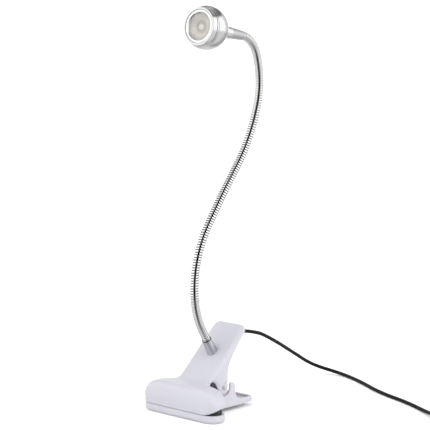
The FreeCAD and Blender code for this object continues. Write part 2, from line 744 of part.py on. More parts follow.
node("heat_slug", boolean("Cut", "heat_slug", cylinder("slug_disc", "@slug_radius", "@slug_height"),
     [slug_hole]), Placement(HEAD_FRAME.multVec(Z_AXIS * (-0.8 - dim("slug_height"))),
                             HEAD_FRAME.Rotation))
screw_set = []
for side in (-1, 1):
    cap = cylinder(f"board_screw_cap_{side + 1}", "1.5", "1", Vector(side * 8.2, 0, 0.4))
    screw_set.append(cap)
node("board_screws", boolean("Fuse", "board_screws", screw_set[0], screw_set[1:]), HEAD_FRAME)
node("head_collar", turned("head_collar", [
    ("@collar_bore", "-@collar_front"), ("@collar_radius - 0.6", "-@collar_front"),
    ("@collar_radius - 0.6", "-@collar_front - 1.2"), ("@collar_radius", "-@collar_front - 1.8"),
    ("@collar_radius", "-@collar_rear + 1.2"), ("@collar_radius - 0.7", "-@collar_rear"),
    ("@collar_bore", "-@collar_rear"),
], HEAD_FRAME))
node("head_sleeve", turned("head_sleeve", [
    ("@hose_radius + @sleeve_wall_gap", "-@collar_rear"), ("@collar_radius - 0.8", "-@collar_rear"),
    ("@collar_radius - 0.8", "-@collar_rear - 4"), ("@sleeve_tip", "-@sleeve_rear"),
    ("@hose_radius + @sleeve_wall_gap", "-@sleeve_rear"),
], HEAD_FRAME))
node("head_tail", turned("head_tail", [
    ("@hose_bore", "-@tail_rear"), ("@collar_bore", "-@tail_rear"),
    ("@collar_bore", "-@tail_front"), ("@hose_bore", "-@tail_front"),
], HEAD_FRAME))
hexagon("head_nut", "5.0", "@washer_height", "@collar_bore", HEAD_FRAME, 13.6)
wire_pair = []
for side in (-1, 1):
    wire_pair.append(cylinder(f"head_wire_{side + 1}", "@wire_radius", "33",
                              Vector(side * 0.7, 0, -36.4)))
node("head_wires", boolean("Fuse", "head_wires", wire_pair[0], wire_pair[1:]), HEAD_FRAME)

# ---------------------------------------------------------------- cord: strain relief and route

relief_frame = Placement(OUTLET + TO_ROW, Rotation(Z_AXIS, OUTWARD))
node("cord_strain_relief", turned("cord_strain_relief", [
    ("@cord_radius", 0), ("@relief_base", 0), ("@relief_base", 2), ("@relief_tip", "@relief_length"),
    ("@cord_radius", "@relief_length"),
], relief_frame))

# The cord hangs from the outlet to the table behind the lamp, then runs to the right on the table
# and into the switch.
CORD_ROUTE = [
    (0, 56, 60.2), (0, 82.73, 56.44), (-5, 110.4, 44.4), (-14, 148.7, 25.3), (-20, 180.7, 8.5),
    (1, 195.3, 1.5), (32, 183, 1.5), (70, 162, 1.5), (108, 150, 1.5), (139, 134.5, 1.6),
    (154, 124.5, 4.2), (170, 113.5, 4.5),
]
# From the switch it runs into the coil, and from the coil to the plug.
COIL_ROUTE = [(198, 94.2, 4.5), (210, 86.6, 3.6), (222, 82.2, 2.4), (236, 80.6, 2.4)]
PLUG_ROUTE = [(239.8, 113.4, 5.0), (226, 115.6, 4.6), (213, 120, 4.1), (199, 122.6, 4.0)]


def rounded_route(points):
    """(wire, length, radii): straight runs joined by the largest tangent arcs that fit."""
    points = [Vector(*p) for p in points]
    edges, radii, here = [], [], points[0]
    for before, corner, after in zip(points, points[1:], points[2:]):
        arrive, leave = corner - before, after - corner
        half = arrive.getAngle(leave) / 2
        cut = 0.45 * min(arrive.Length, leave.Length)
        radii.append(cut / math.tan(half))
        arrive.normalize()
        leave.normalize()
        start, end = corner - arrive * cut, corner + leave * cut
        inward = leave - arrive
        inward.normalize()
        middle = corner + inward * (radii[-1] / math.cos(half) - radii[-1])
        edges += [Part.LineSegment(here, start).toShape(), Part.Arc(start, middle, end).toShape()]
        here = end
    edges.append(Part.LineSegment(here, points[-1]).toShape())
    return Part.Wire(edges), sum(edge.Length for edge in edges), radii


def cord_tube(name, route):
    wire, length, radii = rounded_route(route)
    start = Vector(*route[0])
    tube = swept(wire, dim("cord_radius"), start, Vector(*route[1]) - start)
    node(name, feature(name, tube))
    expected = math.pi * dim("cord_radius") ** 2 * length
    print(f"{name}: length {length:.1f} mm, volume / (section x length) {tube.Volume / expected:.4f}")
    print("  radii", [round(r, 1) for r in radii])
    return length


cord_tube("cord_lead", CORD_ROUTE)
cord_tube("cord_middle", COIL_ROUTE)
cord_tube("cord_tail", PLUG_ROUTE)

# ---------------------------------------------------------------- switch on the cord


def flat_frame(route_end, route_before):
    """A frame on the table under the end of a run, with X along the run's heading."""
    heading_along = Vector(*route_end) - Vector(*route_before)
    angle = math.degrees(math.atan2(heading_along.y, heading_along.x))
    return Placement(Vector(route_end[0], route_end[1], 0), Rotation(Z_AXIS, angle))


SWITCH_FRAME = flat_frame(CORD_ROUTE[-1], CORD_ROUTE[-2])
SWITCH_CORNER = 4.0
SWITCH_WALL = 1.5
HALF_HEIGHT = "@switch_height / 2"


def switch_block(name, inset, low, height):
    start = Vector(inset, inset - dim("switch_width") / 2, low)
    block = box(name + "_block", f"@switch_length - 2 * {inset}", f"@switch_width - 2 * {inset}",
                height, start)
    return fillet_edges(name, block, upright, SWITCH_CORNER - inset)


def cord_hole(name):
    """A hole from end to end of the switch, for the cord."""
    return cylinder(name, "@cord_radius", "@switch_length + 2",
                    Vector(-1, 0, dim("switch_height") / 2), X_AXIS)


middle_height = dim("switch_height") / 2
switch_room = f"@switch_height / 2 - {SWITCH_WALL}"
lower_half = boolean("Cut", "switch_shell_bottom", switch_block("switch_low", 0, 0, HALF_HEIGHT), [
    switch_block("switch_low_room", SWITCH_WALL, SWITCH_WALL, HALF_HEIGHT),
    cord_hole("switch_low_hole"),
])
node("switch_shell_bottom", lower_half, SWITCH_FRAME)
button_slot = box(
    "button_slot", "@button_length + 0.6", "@button_width + 0.6", "6",
    Vector(dim("switch_length") / 2 - dim("button_length") / 2 - 0.3,
           -dim("button_width") / 2 - 0.3, middle_height),
)
upper_half = boolean(
    "Cut", "switch_shell_top", switch_block("switch_high", 0, middle_height, HALF_HEIGHT), [
        switch_block("switch_high_room", SWITCH_WALL, middle_height, switch_room),
        cord_hole("switch_high_hole"), button_slot,
    ])
node("switch_shell_top", upper_half, SWITCH_FRAME)
BUTTON_LOW = 6.0
button_post = box(
    "button_post", "@button_length", "@button_width", f"@switch_height + @button_rise - {BUTTON_LOW}",
    Vector(dim("switch_length") / 2 - dim("button_length") / 2, -dim("button_width") / 2, BUTTON_LOW),
)
button_flange = box(
    "button_flange", "@button_length + 2", "@button_width + 2", "1.0",
    Vector(dim("switch_length") / 2 - dim("button_length") / 2 - 1, -dim("button_width") / 2 - 1,
           BUTTON_LOW),
)
node("switch_button", boolean("Fuse", "switch_button", button_post, [button_flange]), SWITCH_FRAME)
contacts = box("switch_contacts", "12", "7", "3.2", Vector(0, 0, 0))
CONTACT_SPOT = Vector(dim("switch_length") / 2 - 6, -3.5, SWITCH_WALL)
node("switch_contacts", contacts,
     Placement(SWITCH_FRAME.multVec(CONTACT_SPOT), SWITCH_FRAME.Rotation))

# ---------------------------------------------------------------- put-away coil and its tie

coil_heading = Vector(*COIL_ROUTE[-1]) - Vector(*COIL_ROUTE[-2])
coil_heading.z = 0
coil_heading.normalize()
TIE_WALL = 0.7
COIL_CENTRE = Vector(*COIL_ROUTE[-1]) + Vector(-coil_heading.y, coil_heading.x, 0) * dim("ring_radius")
COIL_CENTRE.z = TIE_WALL + 0.1
BEVEL = 2.4
node("cord_coil", turned("cord_coil", [
    (f"@ring_radius - @ring_width / 2 + {BEVEL}", 0),
    (f"@ring_radius + @ring_width / 2 - {BEVEL}", 0),
    ("@ring_radius + @ring_width / 2", BEVEL),
    ("@ring_radius + @ring_width / 2", f"@ring_height - {BEVEL}"),
    (f"@ring_radius + @ring_width / 2 - {BEVEL}", "@ring_height"),
    (f"@ring_radius - @ring_width / 2 + {BEVEL}", "@ring_height"),
    ("@ring_radius - @ring_width / 2", f"@ring_height - {BEVEL}"),
    ("@ring_radius - @ring_width / 2", BEVEL),
], Placement(COIL_CENTRE, Rotation())))
tie_outer = box("tie_outer", f"@ring_width + 2 * {TIE_WALL} + 0.4", "4",
                f"@ring_height + 2 * {TIE_WALL} + 0.2")
tie_inner = box("tie_inner", "@ring_width + 0.4", "6", "@ring_height + 0.2",
                Vector(TIE_WALL, -1, TIE_WALL))
tie_start = COIL_CENTRE + Vector(dim("ring_radius") - dim("ring_width") / 2 - TIE_WALL - 0.2, -2, 0)
tie_start.z = 0
node("coil_tie", boolean("Cut", "coil_tie", tie_outer, [tie_inner]), Placement(tie_start, Rotation()))

# ---------------------------------------------------------------- plug

PLUG_FRAME = flat_frame(PLUG_ROUTE[-1], PLUG_ROUTE[-2])
plug_block = box("plug_block", "@plug_length", "@plug_width", "@plug_height",
                 Vector(0, -dim("plug_width") / 2, 0))
node("plug_body", fillet_edges("plug_body", plug_block, upright, 3.0), PLUG_FRAME)
SLEEVE_WALL = 0.4
tongue_start = Vector(dim("plug_length"), -dim("tongue_width") / 2,
                      (dim("plug_height") - dim("tongue_height")) / 2)
sleeve_outer = box("sleeve_outer", "@tongue_length", "@tongue_width", "@tongue_height", tongue_start)
sleeve_inner = box(
    "sleeve_inner", "@tongue_length", f"@tongue_width - 2 * {SLEEVE_WALL}",
    f"@tongue_height - 2 * {SLEEVE_WALL}",
    tongue_start + Vector(1, SLEEVE_WALL, SLEEVE_WALL),
)
node("plug_sleeve", boolean("Cut", "plug_sleeve", sleeve_outer, [sleeve_inner]), PLUG_FRAME)
node("plug_tongue", box("plug_tongue", "@tongue_length - 1.6", "@tongue_width - 1", "1.6"),
     Placement(PLUG_FRAME.multVec(tongue_start + Vector(1, 0.5, SLEEVE_WALL)), PLUG_FRAME.Rotation))

# ---------------------------------------------------------------- check and write

doc.recompute()
failed = [item.Label for item in doc.Objects if {"Invalid", "Error"} & set(item.State)]
for name, item in parts.items():
    shape = item.Shape
    if shape.isNull() or not shape.isValid() or shape.Volume <= 0:
        failed.append(name)
if failed:
    raise SystemExit(f"failed: {sorted(set(failed))}")
os.makedirs("parts", exist_ok=True)
for name, item in parts.items():
    item.Shape.exportStep(f"parts/{name}.step")
print(len(parts), "nodes")
for number, length in enumerate(KNUCKLES):
    spot, direction = hose_at(length)
    print(f"knuckle {number + 1}: {[round(v, 3) for v in spot]} along {[round(v, 4) for v in direction]}")
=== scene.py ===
import json
import math

import bpy
import numpy as np
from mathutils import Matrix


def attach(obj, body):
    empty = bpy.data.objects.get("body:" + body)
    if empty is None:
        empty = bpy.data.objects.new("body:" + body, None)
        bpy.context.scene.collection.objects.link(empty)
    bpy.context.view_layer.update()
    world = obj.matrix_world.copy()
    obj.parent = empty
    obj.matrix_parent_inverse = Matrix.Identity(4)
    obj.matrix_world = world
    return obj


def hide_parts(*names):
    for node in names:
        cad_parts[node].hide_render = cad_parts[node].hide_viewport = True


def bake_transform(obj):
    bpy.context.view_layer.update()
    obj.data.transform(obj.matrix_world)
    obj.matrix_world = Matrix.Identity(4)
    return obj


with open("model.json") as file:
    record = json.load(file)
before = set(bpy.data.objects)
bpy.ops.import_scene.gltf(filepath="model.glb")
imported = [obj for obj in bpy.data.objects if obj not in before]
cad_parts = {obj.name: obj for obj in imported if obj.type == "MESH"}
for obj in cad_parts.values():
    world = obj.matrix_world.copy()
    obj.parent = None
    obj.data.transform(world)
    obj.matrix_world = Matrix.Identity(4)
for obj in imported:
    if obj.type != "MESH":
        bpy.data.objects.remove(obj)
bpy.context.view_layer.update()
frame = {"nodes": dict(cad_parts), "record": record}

import openvdb
from mathutils import Matrix, Vector

MM = 0.001
SHIFT = np.array([0.0, -10.0, 0.0])  # clip shapes are drawn from the nose of the jaws

# ---------------------------------------------------------------- camera

TARGET = Vector((0.0, 0.03487, 0.15767))
AZIMUTH, ELEVATION, DISTANCE = math.radians(43.2), math.radians(7.8), 1.4
camera_data = bpy.data.cameras.new("camera")
camera = bpy.data.objects.new("camera", camera_data)
bpy.context.scene.collection.objects.link(camera)
back = Vector((
    math.sin(AZIMUTH) * math.cos(ELEVATION),
    -math.cos(AZIMUTH) * math.cos(ELEVATION),
    math.sin(ELEVATION),
))
camera.location = TARGET + back * DISTANCE
camera.rotation_mode = "QUATERNION"
camera.rotation_quaternion = (-back).to_track_quat("-Z", "Y")
camera_data.sensor_width = 36.0
camera_data.lens = 146.5
camera_data.clip_start = 0.05
camera_data.clip_end = 100.0
bpy.context.scene.camera = camera
bpy.context.scene.view_settings.view_transform = "Standard"

# ---------------------------------------------------------------- materials


class Maker:
    """Builds one node material: shader sockets take constants, or outputs of its own nodes."""

    def __init__(self, name):
        self.material = bpy.data.materials.new(name)
        self.material.use_nodes = True
        self.tree = self.material.node_tree
        self.tree.nodes.clear()
        self.output = self.tree.nodes.new("ShaderNodeOutputMaterial")
        self.shader = self.tree.nodes.new("ShaderNodeBsdfPrincipled")
        self.link(self.shader.outputs[0], self.output.inputs["Surface"])
        self.place = self.tree.nodes.new("ShaderNodeTexCoord").outputs["Object"]

    def link(self, out, into):
        self.tree.links.new(out, into)

    def node(self, kind, **inputs):
        made = self.tree.nodes.new(kind)
        for key, value in inputs.items():
            self.put(made.inputs[key], value)
        return made

    def put(self, socket, value):
        if isinstance(value, bpy.types.NodeSocket):
            self.link(value, socket)
        else:
            socket.default_value = value

    def set(self, **values):
        for key, value in values.items():
            self.put(self.shader.inputs[key.replace("_", " ")], value)
        return self

    def noise(self, scale, detail=4.0):
        """Even noise through the object: scale in bumps per metre, detail in octaves."""
        made = self.node("ShaderNodeTexNoise", Scale=scale, Detail=detail, Roughness=0.55)
        self.link(self.place, made.inputs["Vector"])
        return made.outputs["Fac"]

    def ramp(self, value, *stops):
        """A colour ramp: stops are (position, colour)."""
        made = self.tree.nodes.new("ShaderNodeValToRGB")
        self.link(value, made.inputs[0])
        points = made.color_ramp.elements
        while len(points) < len(stops):
            points.new(0.5)
        for point, (position, colour) in zip(points, stops):
            point.position = position
            point.color = (*colour, 1.0) if len(colour) == 3 else colour
        return made.outputs[0]

    def span(self, value, low, high, from_low=0.0, from_high=1.0):
        """Maps value from one range onto the range low to high."""
        made = self.tree.nodes.new("ShaderNodeMapRange")
        for key, number in (("From Min", from_low), ("From Max", from_high),
                            ("To Min", low), ("To Max", high)):
            made.inputs[key].default_value = number
        self.link(value, made.inputs["Value"])
        return made.outputs[0]

    def mix(self, kind, factor, a, b):
        made = self.tree.nodes.new("ShaderNodeMix")
        made.data_type = "RGBA"
        made.blend_type = kind
        self.put(made.inputs["Factor"], factor)
        self.put(made.inputs["A"], a)
        self.put(made.inputs["B"], b)
        return made.outputs["Result"]

    def attribute(self, name):
        made = self.tree.nodes.new("ShaderNodeAttribute")
        made.attribute_name = name
        return made.outputs["Fac"]

    def bump(self, height, distance, strength=1.0, over=None):
        """A bump normal; over is a coarser bump that this one lies on."""
        made = self.tree.nodes.new("ShaderNodeBump")
        made.inputs["Strength"].default_value = strength
        made.inputs["Distance"].default_value = distance
        self.link(height, made.inputs["Height"])
        if over is not None:
            self.link(over, made.inputs["Normal"])
        return made.outputs[0]

    def normal(self, out):
        self.link(out, self.shader.inputs["Normal"])
        return self


def moulded_white():
    """Satin white moulded plastic, faintly cool, with a fine moulded texture."""
    m = Maker("moulded_white")
    cloud = m.noise(18.0, 3.0)
    grain = m.noise(2600.0, 3.0)
    colour = m.ramp(cloud, (0.3, (0.505, 0.502, 0.550)), (0.7, (0.525, 0.522, 0.570)))
    m.set(Base_Color=colour, Roughness=m.span(m.noise(60.0), 0.34, 0.46), IOR=1.49)
    m.set(Subsurface_Weight=0.12, Subsurface_Scale=0.003)
    m.normal(m.bump(grain, 0.00003, 0.6, m.bump(m.noise(45.0, 2.0), 0.0002, 0.25)))
    return m.material


def chromed_steel():
    """The hose: bright steel strip, with painted shade, near black, down in the grooves between its
    turns.
    """
    m = Maker("hose_steel")
    groove_shade = m.attribute("groove_shade")
    smudge = m.noise(90.0, 4.0)
    bright = m.ramp(smudge, (0.25, (0.86, 0.86, 0.865)), (0.75, (0.94, 0.94, 0.94)))
    # painted shade: the colour mixes toward near black by how deep each point lies in a groove
    colour = m.mix("MIX", groove_shade, bright, (0.035, 0.035, 0.036, 1.0))
    m.set(Base_Color=colour, Metallic=1.0, Roughness=m.span(smudge, 0.05, 0.1))
    m.normal(m.bump(m.noise(900.0, 3.0), 0.00001, 0.3))
    return m.material


def turned_metal(name, low, high, rough, ring=0.0, scale=1400.0):
    """Satin metal with fine lathe lines round each piece's axis, from its 'along' attribute."""
    m = Maker(name)
    along = m.attribute("along")
    lines = m.tree.nodes.new("ShaderNodeTexNoise")
    lines.noise_dimensions = "1D"
    lines.inputs["Scale"].default_value = scale
    lines.inputs["Detail"].default_value = 4.0
    m.link(along, lines.inputs["W"])
    streak = lines.outputs["Fac"]
    cloud = m.noise(70.0, 3.0)
    colour = m.mix("MULTIPLY", 1.0, m.ramp(streak, (0.2, low), (0.8, high)),
                   m.ramp(cloud, (0.2, (0.94, 0.94, 0.94)), (0.8, (1.0, 1.0, 1.0))))
    m.set(Base_Color=colour, Metallic=1.0, Roughness=m.span(streak, rough - 0.06, rough + 0.08))
    m.normal(m.bump(streak, ring, 0.5))
    return m.material


def plated_steel():
    """Zinc-plated steel with a cloudy, half-bright surface."""
    m = Maker("plated_steel")
    cloud = m.noise(300.0, 4.0)
    m.set(Base_Color=m.ramp(cloud, (0.2, (0.48, 0.48, 0.5)), (0.8, (0.62, 0.62, 0.63))),
          Metallic=1.0, Roughness=m.span(cloud, 0.25, 0.42))
    m.normal(m.bump(cloud, 0.00003, 0.4))
    return m.material


def black_rubber(name, shade, rough, grain_size, depth, gloss=0.4):
    """Near-black rubber or plastic with a moulded grain."""
    m = Maker(name)
    cloud = m.noise(120.0, 3.0)
    grain = m.noise(grain_size, 4.0)
    m.set(Base_Color=m.ramp(cloud, (0.25, (shade * 0.75,) * 3), (0.75, (shade * 1.3,) * 3)),
          Roughness=m.span(cloud, rough - 0.06, rough + 0.08), Specular_IOR_Level=gloss)
    m.normal(m.bump(grain, depth, 0.6))
    return m.material


def clear_lens():
    """Clear plastic, drawn as a thin film so that the optic behind it shows."""
    m = Maker("lens_clear")
    m.set(Base_Color=(0.97, 0.98, 1.0, 1.0), Roughness=0.06, IOR=1.49, Alpha=0.1)
    m.normal(m.bump(m.noise(220.0, 2.0), 0.00001, 0.2))
    return m.material


def metallised():
    """The reflector's dished optic, with painted reflections by radius: olive grey by the emitter,
    cream, then grey at its edge.
    """
    m = Maker("reflector_metal")
    peel = m.noise(700.0, 3.0)
    out = m.span(m.attribute("along"), 0.0, 1.0, 0.0, 0.0088)
    # painted reflection: tones set by distance from the axis stand in for the emitter and
    # surroundings mirrored in the dish
    painted_reflection_zones = m.ramp(out, (0.0, (0.33, 0.32, 0.25)), (0.22, (0.26, 0.255, 0.20)),
                   (0.45, (0.44, 0.41, 0.35)), (0.75, (0.42, 0.40, 0.37)),
                   (1.0, (0.28, 0.27, 0.26)))
    patches = m.ramp(m.noise(130.0, 2.0), (0.35, (0.82, 0.82, 0.82)), (0.65, (1.1, 1.06, 1.02)))
    m.set(Base_Color=m.mix("MULTIPLY", 1.0, painted_reflection_zones, patches), Metallic=0.25,
          Roughness=m.span(peel, 0.38, 0.5))
    m.normal(m.bump(peel, 0.00003, 0.4))
    return m.material


def phosphor():
    """The emitter's pale yellow phosphor, unlit."""
    m = Maker("led_phosphor")
    spots = m.noise(1500.0, 3.0)
    m.set(Base_Color=m.ramp(spots, (0.3, (0.50, 0.48, 0.38)), (0.7, (0.58, 0.55, 0.45))),
          Roughness=0.5)
    m.normal(m.bump(spots, 0.00004, 0.5))
    return m.material


def board_mask():
    """White solder mask with faint traces under it."""
    m = Maker("board_mask")
    traces = m.noise(500.0, 1.0)
    m.set(Base_Color=m.ramp(traces, (0.45, (0.66, 0.66, 0.64)), (0.5, (0.78, 0.78, 0.75))),
          Roughness=m.span(traces, 0.35, 0.5))
    m.normal(m.bump(traces, 0.00002, 0.4))
    return m.material


def wire_jacket():
    """Soft red wire insulation."""
    m = Maker("wire_jacket")
    cloud = m.noise(400.0, 2.0)
    m.set(Base_Color=m.ramp(cloud, (0.3, (0.42, 0.03, 0.03)), (0.7, (0.6, 0.06, 0.05))),
          Roughness=m.span(cloud, 0.4, 0.55))
    m.normal(m.bump(cloud, 0.00002, 0.4))
    return m.material


def brass():
    """Switch contacts of rolled brass."""
    m = Maker("contact_brass")
    cloud = m.noise(350.0, 4.0)
    m.set(Base_Color=m.ramp(cloud, (0.3, (0.68, 0.5, 0.22)), (0.7, (0.84, 0.66, 0.34))),
          Metallic=1.0, Roughness=m.span(cloud, 0.22, 0.4))
    m.normal(m.bump(cloud, 0.00002, 0.4))
    return m.material


def pale_floor():
    """Matt white studio paper."""
    m = Maker("pale_floor")
    cloud = m.noise(0.7, 3.0)
    m.set(Base_Color=m.ramp(cloud, (0.2, (0.96, 0.96, 0.96)), (0.8, (0.98, 0.98, 0.98))),
          Roughness=0.9, Specular_IOR_Level=0.1)
    return m.material


WHITE = moulded_white()
CHROME = chromed_steel()
SATIN = turned_metal("sleeve_metal", (0.52, 0.52, 0.54), (0.66, 0.66, 0.68), 0.34, 0.00002)
HEAD = turned_metal("head_aluminium", (0.66, 0.66, 0.665), (0.80, 0.80, 0.80), 0.2, 0.00003)
BEZEL = turned_metal("bezel_aluminium", (0.84, 0.84, 0.84), (0.95, 0.95, 0.94), 0.24, 0.00002)
PLATED = plated_steel()
PAD = black_rubber("pad_rubber", 0.03, 0.6, 1800.0, 0.00006)
SEAL = black_rubber("seal_black", 0.014, 0.45, 2500.0, 0.00003)
PLASTIC = black_rubber("black_plastic", 0.03, 0.4, 3200.0, 0.00003)
CORD = black_rubber("cord_black", 0.006, 0.5, 2800.0, 0.00003, 0.14)
LENS, REFLECTOR, LED, BOARD = clear_lens(), metallised(), phosphor(), board_mask()
WIRE, BRASS, FLOOR = wire_jacket(), brass(), pale_floor()

SLOT_MATERIAL = {
    "white_plastic": WHITE, "pad_rubber": PAD, "hose_steel": CHROME, "sleeve_metal": SATIN,
    "zinc_steel": PLATED, "head_aluminium": HEAD, "bezel_white": BEZEL, "seal_black": SEAL,
    "lens_clear": LENS, "reflector_metal": REFLECTOR, "board_white": BOARD, "led_yellow": LED,
    "wire_insulation": WIRE, "black_plastic": PLASTIC, "cord_black": CORD, "contact_brass": BRASS,
}
for entry in frame["record"]["subparts"]:
    mesh = frame["nodes"][entry["node"]].data
    mesh.materials.clear()
    mesh.materials.append(SLOT_MATERIAL[entry["material_slot"]])

# ---------------------------------------------------------------- mesh helpers


def piece(name, verts, faces, material, body=None, smooth=True):
    """A mesh piece in the row frame, in metres, riding on a body."""
    mesh = bpy.data.meshes.new(name)
    mesh.from_pydata([tuple(map(float, v)) for v in verts], [], [list(map(int, f)) for f in faces])
    mesh.materials.append(material)
    if smooth:
        mesh.polygons.foreach_set("use_smooth", [True] * len(mesh.polygons))
    mesh.validate()
    mesh.update()
    made = bpy.data.objects.new(name, mesh)
    bpy.context.scene.collection.objects.link(made)
    if body:
        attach(made, body)
    return made


def set_attribute(made, name, values):
    """One number for each vertex, read by a material's attribute node."""
    layer = made.data.attributes.new(name, "FLOAT", "POINT")
    layer.data.foreach_set("value", np.asarray(values, np.float32))


def creases(made, angle):
    """Marks as sharp each edge whose faces meet at more than angle, in degrees."""
    made.data.set_sharp_from_angle(angle=math.radians(angle))


def rounded_outline(corners, steps=5):
    """A lathe section (radius, height, fillet) with each corner rounded by its own fillet."""
    out = []
    count = len(corners)
    for i, (r, z, fillet) in enumerate(corners):
        here = Vector((r, z))
        if fillet <= 0 or i == 0 or i == count - 1:
            out.append((r, z))
            continue
        before, after = Vector(corners[i - 1][:2]) - here, Vector(corners[i + 1][:2]) - here
        half = before.angle(after) / 2
        cut = min(fillet / math.tan(half), 0.49 * before.length, 0.49 * after.length)
        start, end = here + before.normalized() * cut, here + after.normalized() * cut
        for k in range(steps + 1):
            t = k / steps
            spot = start * (1 - t) ** 2 + here * (2 * t * (1 - t)) + end * t ** 2
            out.append((spot.x, spot.y))
    return out


def lathe(name, corners, origin, axis, material, body, around=96, sharp=32, steps=5):
    """A turned piece: corners are (radius, height, fillet) in mm along its axis."""
    section = rounded_outline(corners, steps)
    turn = Vector((0, 0, 1)).rotation_difference(Vector(axis)).to_matrix()
    verts, faces, along, length = [], [], [], 0.0
    for k, (r, z) in enumerate(section):
        if k:
            length += math.hypot(r - section[k - 1][0], z - section[k - 1][1])
        for j in range(around):
            a = 2 * math.pi * j / around
            local = Vector((r * math.cos(a), r * math.sin(a), z))
            verts.append((Vector(origin) + turn @ local) * MM)
            along.append(length * MM)
    for k in range(len(section) - 1):
        for j in range(around):
            a, b = k * around + j, k * around + (j + 1) % around
            faces.append((a, b, b + around, a + around))
    made = piece(name, verts, faces, material, body)
    set_attribute(made, "along", along)
    creases(made, sharp)
    return made


# ---------------------------------------------------------------- solid shapes by distance

# Each shape takes points in mm, with X, Y, Z in the last axis, and returns a signed distance.


def smin(a, b, k):
    """The smaller of two distances, blended over k: two shapes joined with a soft inner corner."""
    return np.minimum(a, b) - np.maximum(k - np.abs(a - b), 0.0) ** 2 / (4 * k)


def smax(a, b, k):
    """The larger of two distances, blended over k: what two shapes share, with a rounded edge."""
    return -smin(-a, -b, k)


def stadium(x, y, half_x, half_y, corner):
    """Signed distance to a rectangle with rounded corners."""
    qx, qy = np.abs(x) - (half_x - corner), np.abs(y) - (half_y - corner)
    outside = np.hypot(np.maximum(qx, 0), np.maximum(qy, 0))
    return outside + np.minimum(np.maximum(qx, qy), 0) - corner


def smoothed(corners, rounds=2):
    """A closed outline with its corners cut again and again, so that it curves."""
    points = [np.array(c, float) for c in corners]
    for _ in range(rounds):
        cut = []
        for a, b in zip(points, points[1:] + points[:1]):
            cut += [a * 0.75 + b * 0.25, a * 0.25 + b * 0.75]
        points = cut
    return np.array(points)


def outline_distance(y, z, corners):
    """Signed distance from (y, z) to a closed outline. In a grid, all slices along X are alike."""
    if y.ndim == 3:
        return np.broadcast_to(outline_distance(y[0], z[0], corners), y.shape)
    best = np.full(np.broadcast(y, z).shape, 1e9)
    sign = np.ones(best.shape)
    count = len(corners)
    for i in range(count):
        a, b = corners[i - 1], corners[i]
        ey, ez = b[0] - a[0], b[1] - a[1]
        wy, wz = y - a[0], z - a[1]
        t = np.clip((wy * ey + wz * ez) / (ey * ey + ez * ez), 0, 1)
        best = np.minimum(best, (wy - ey * t) ** 2 + (wz - ez * t) ** 2)
        above_a, above_b = z >= a[1], z < b[1]
        left = ey * wz > ez * wy
        flip = (above_a & above_b & left) | (~above_a & ~above_b & ~left)
        sign = np.where(flip, -sign, sign)
    return sign * np.sqrt(best)


LEVER_PITCH = math.radians(42.6)
LEVER_START = np.array([0.0, 15.4, 23.1])
COS, SIN = math.cos(LEVER_PITCH), math.sin(LEVER_PITCH)
PIVOT_Y, PIVOT_Z = 37.5, 20.0
TOE_RISE = 2.8
PART_COS, PART_SIN = math.cos(math.radians(12.0)), math.sin(math.radians(12.0))

LEVER_SIDE = [
    (13.0, 14.0), (13.0, 22.0), (17.0, 24.5), (20.0, 27.33), (30.0, 36.52), (42.0, 47.56),
    (54.0, 58.6), (61.4, 65.4), (64.1, 67.9), (65.5, 67.4), (65.7, 65.6), (63.6, 61.9),
    (62.0, 60.0), (57.6, 55.6), (54.4, 51.8), (51.0, 47.4), (47.9, 43.0), (44.9, 38.2),
    (43.7, 34.2), (43.0, 29.0), (43.6, 24.4), (43.9, 19.0), (42.0, 14.6), (37.2, 13.4),
    (32.8, 15.4), (30.4, 19.2), (28.4, 23.2), (26.4, 25.6), (24.0, 26.4), (21.4, 25.2),
    (19.2, 22.0), (17.3, 17.0), (15.0, 13.0),
]
CAVITY_SIDE = [
    (23.0, 10.0), (22.6, 23.5), (28.0, 31.0), (42.0, 43.6), (43.8, 40.6), (44.8, 38.6),
    (49.0, 36.0), (49.0, 10.0),
]
REAR_STRIP = [
    (63.8, 61.3), (58.6, 55.2), (55.4, 51.2), (52.0, 46.8), (48.9, 42.4), (45.9, 37.8),
    (44.0, 39.0), (47.0, 43.7), (50.1, 48.2), (53.5, 52.6), (56.8, 56.5), (62.0, 61.3),
]


def parting_lift(p):
    """Height in mm above the sloping plane where the two jaws meet."""
    return (p[..., 2] - 6.7) * PART_COS - p[..., 1] * PART_SIN


def toe_lift(p):
    """The same for the toe's own edge, which rises a little toward its near end."""
    return parting_lift(p) - TOE_RISE * np.clip((p[..., 0] - 26.0) / 13.6, 0, 1) ** 2


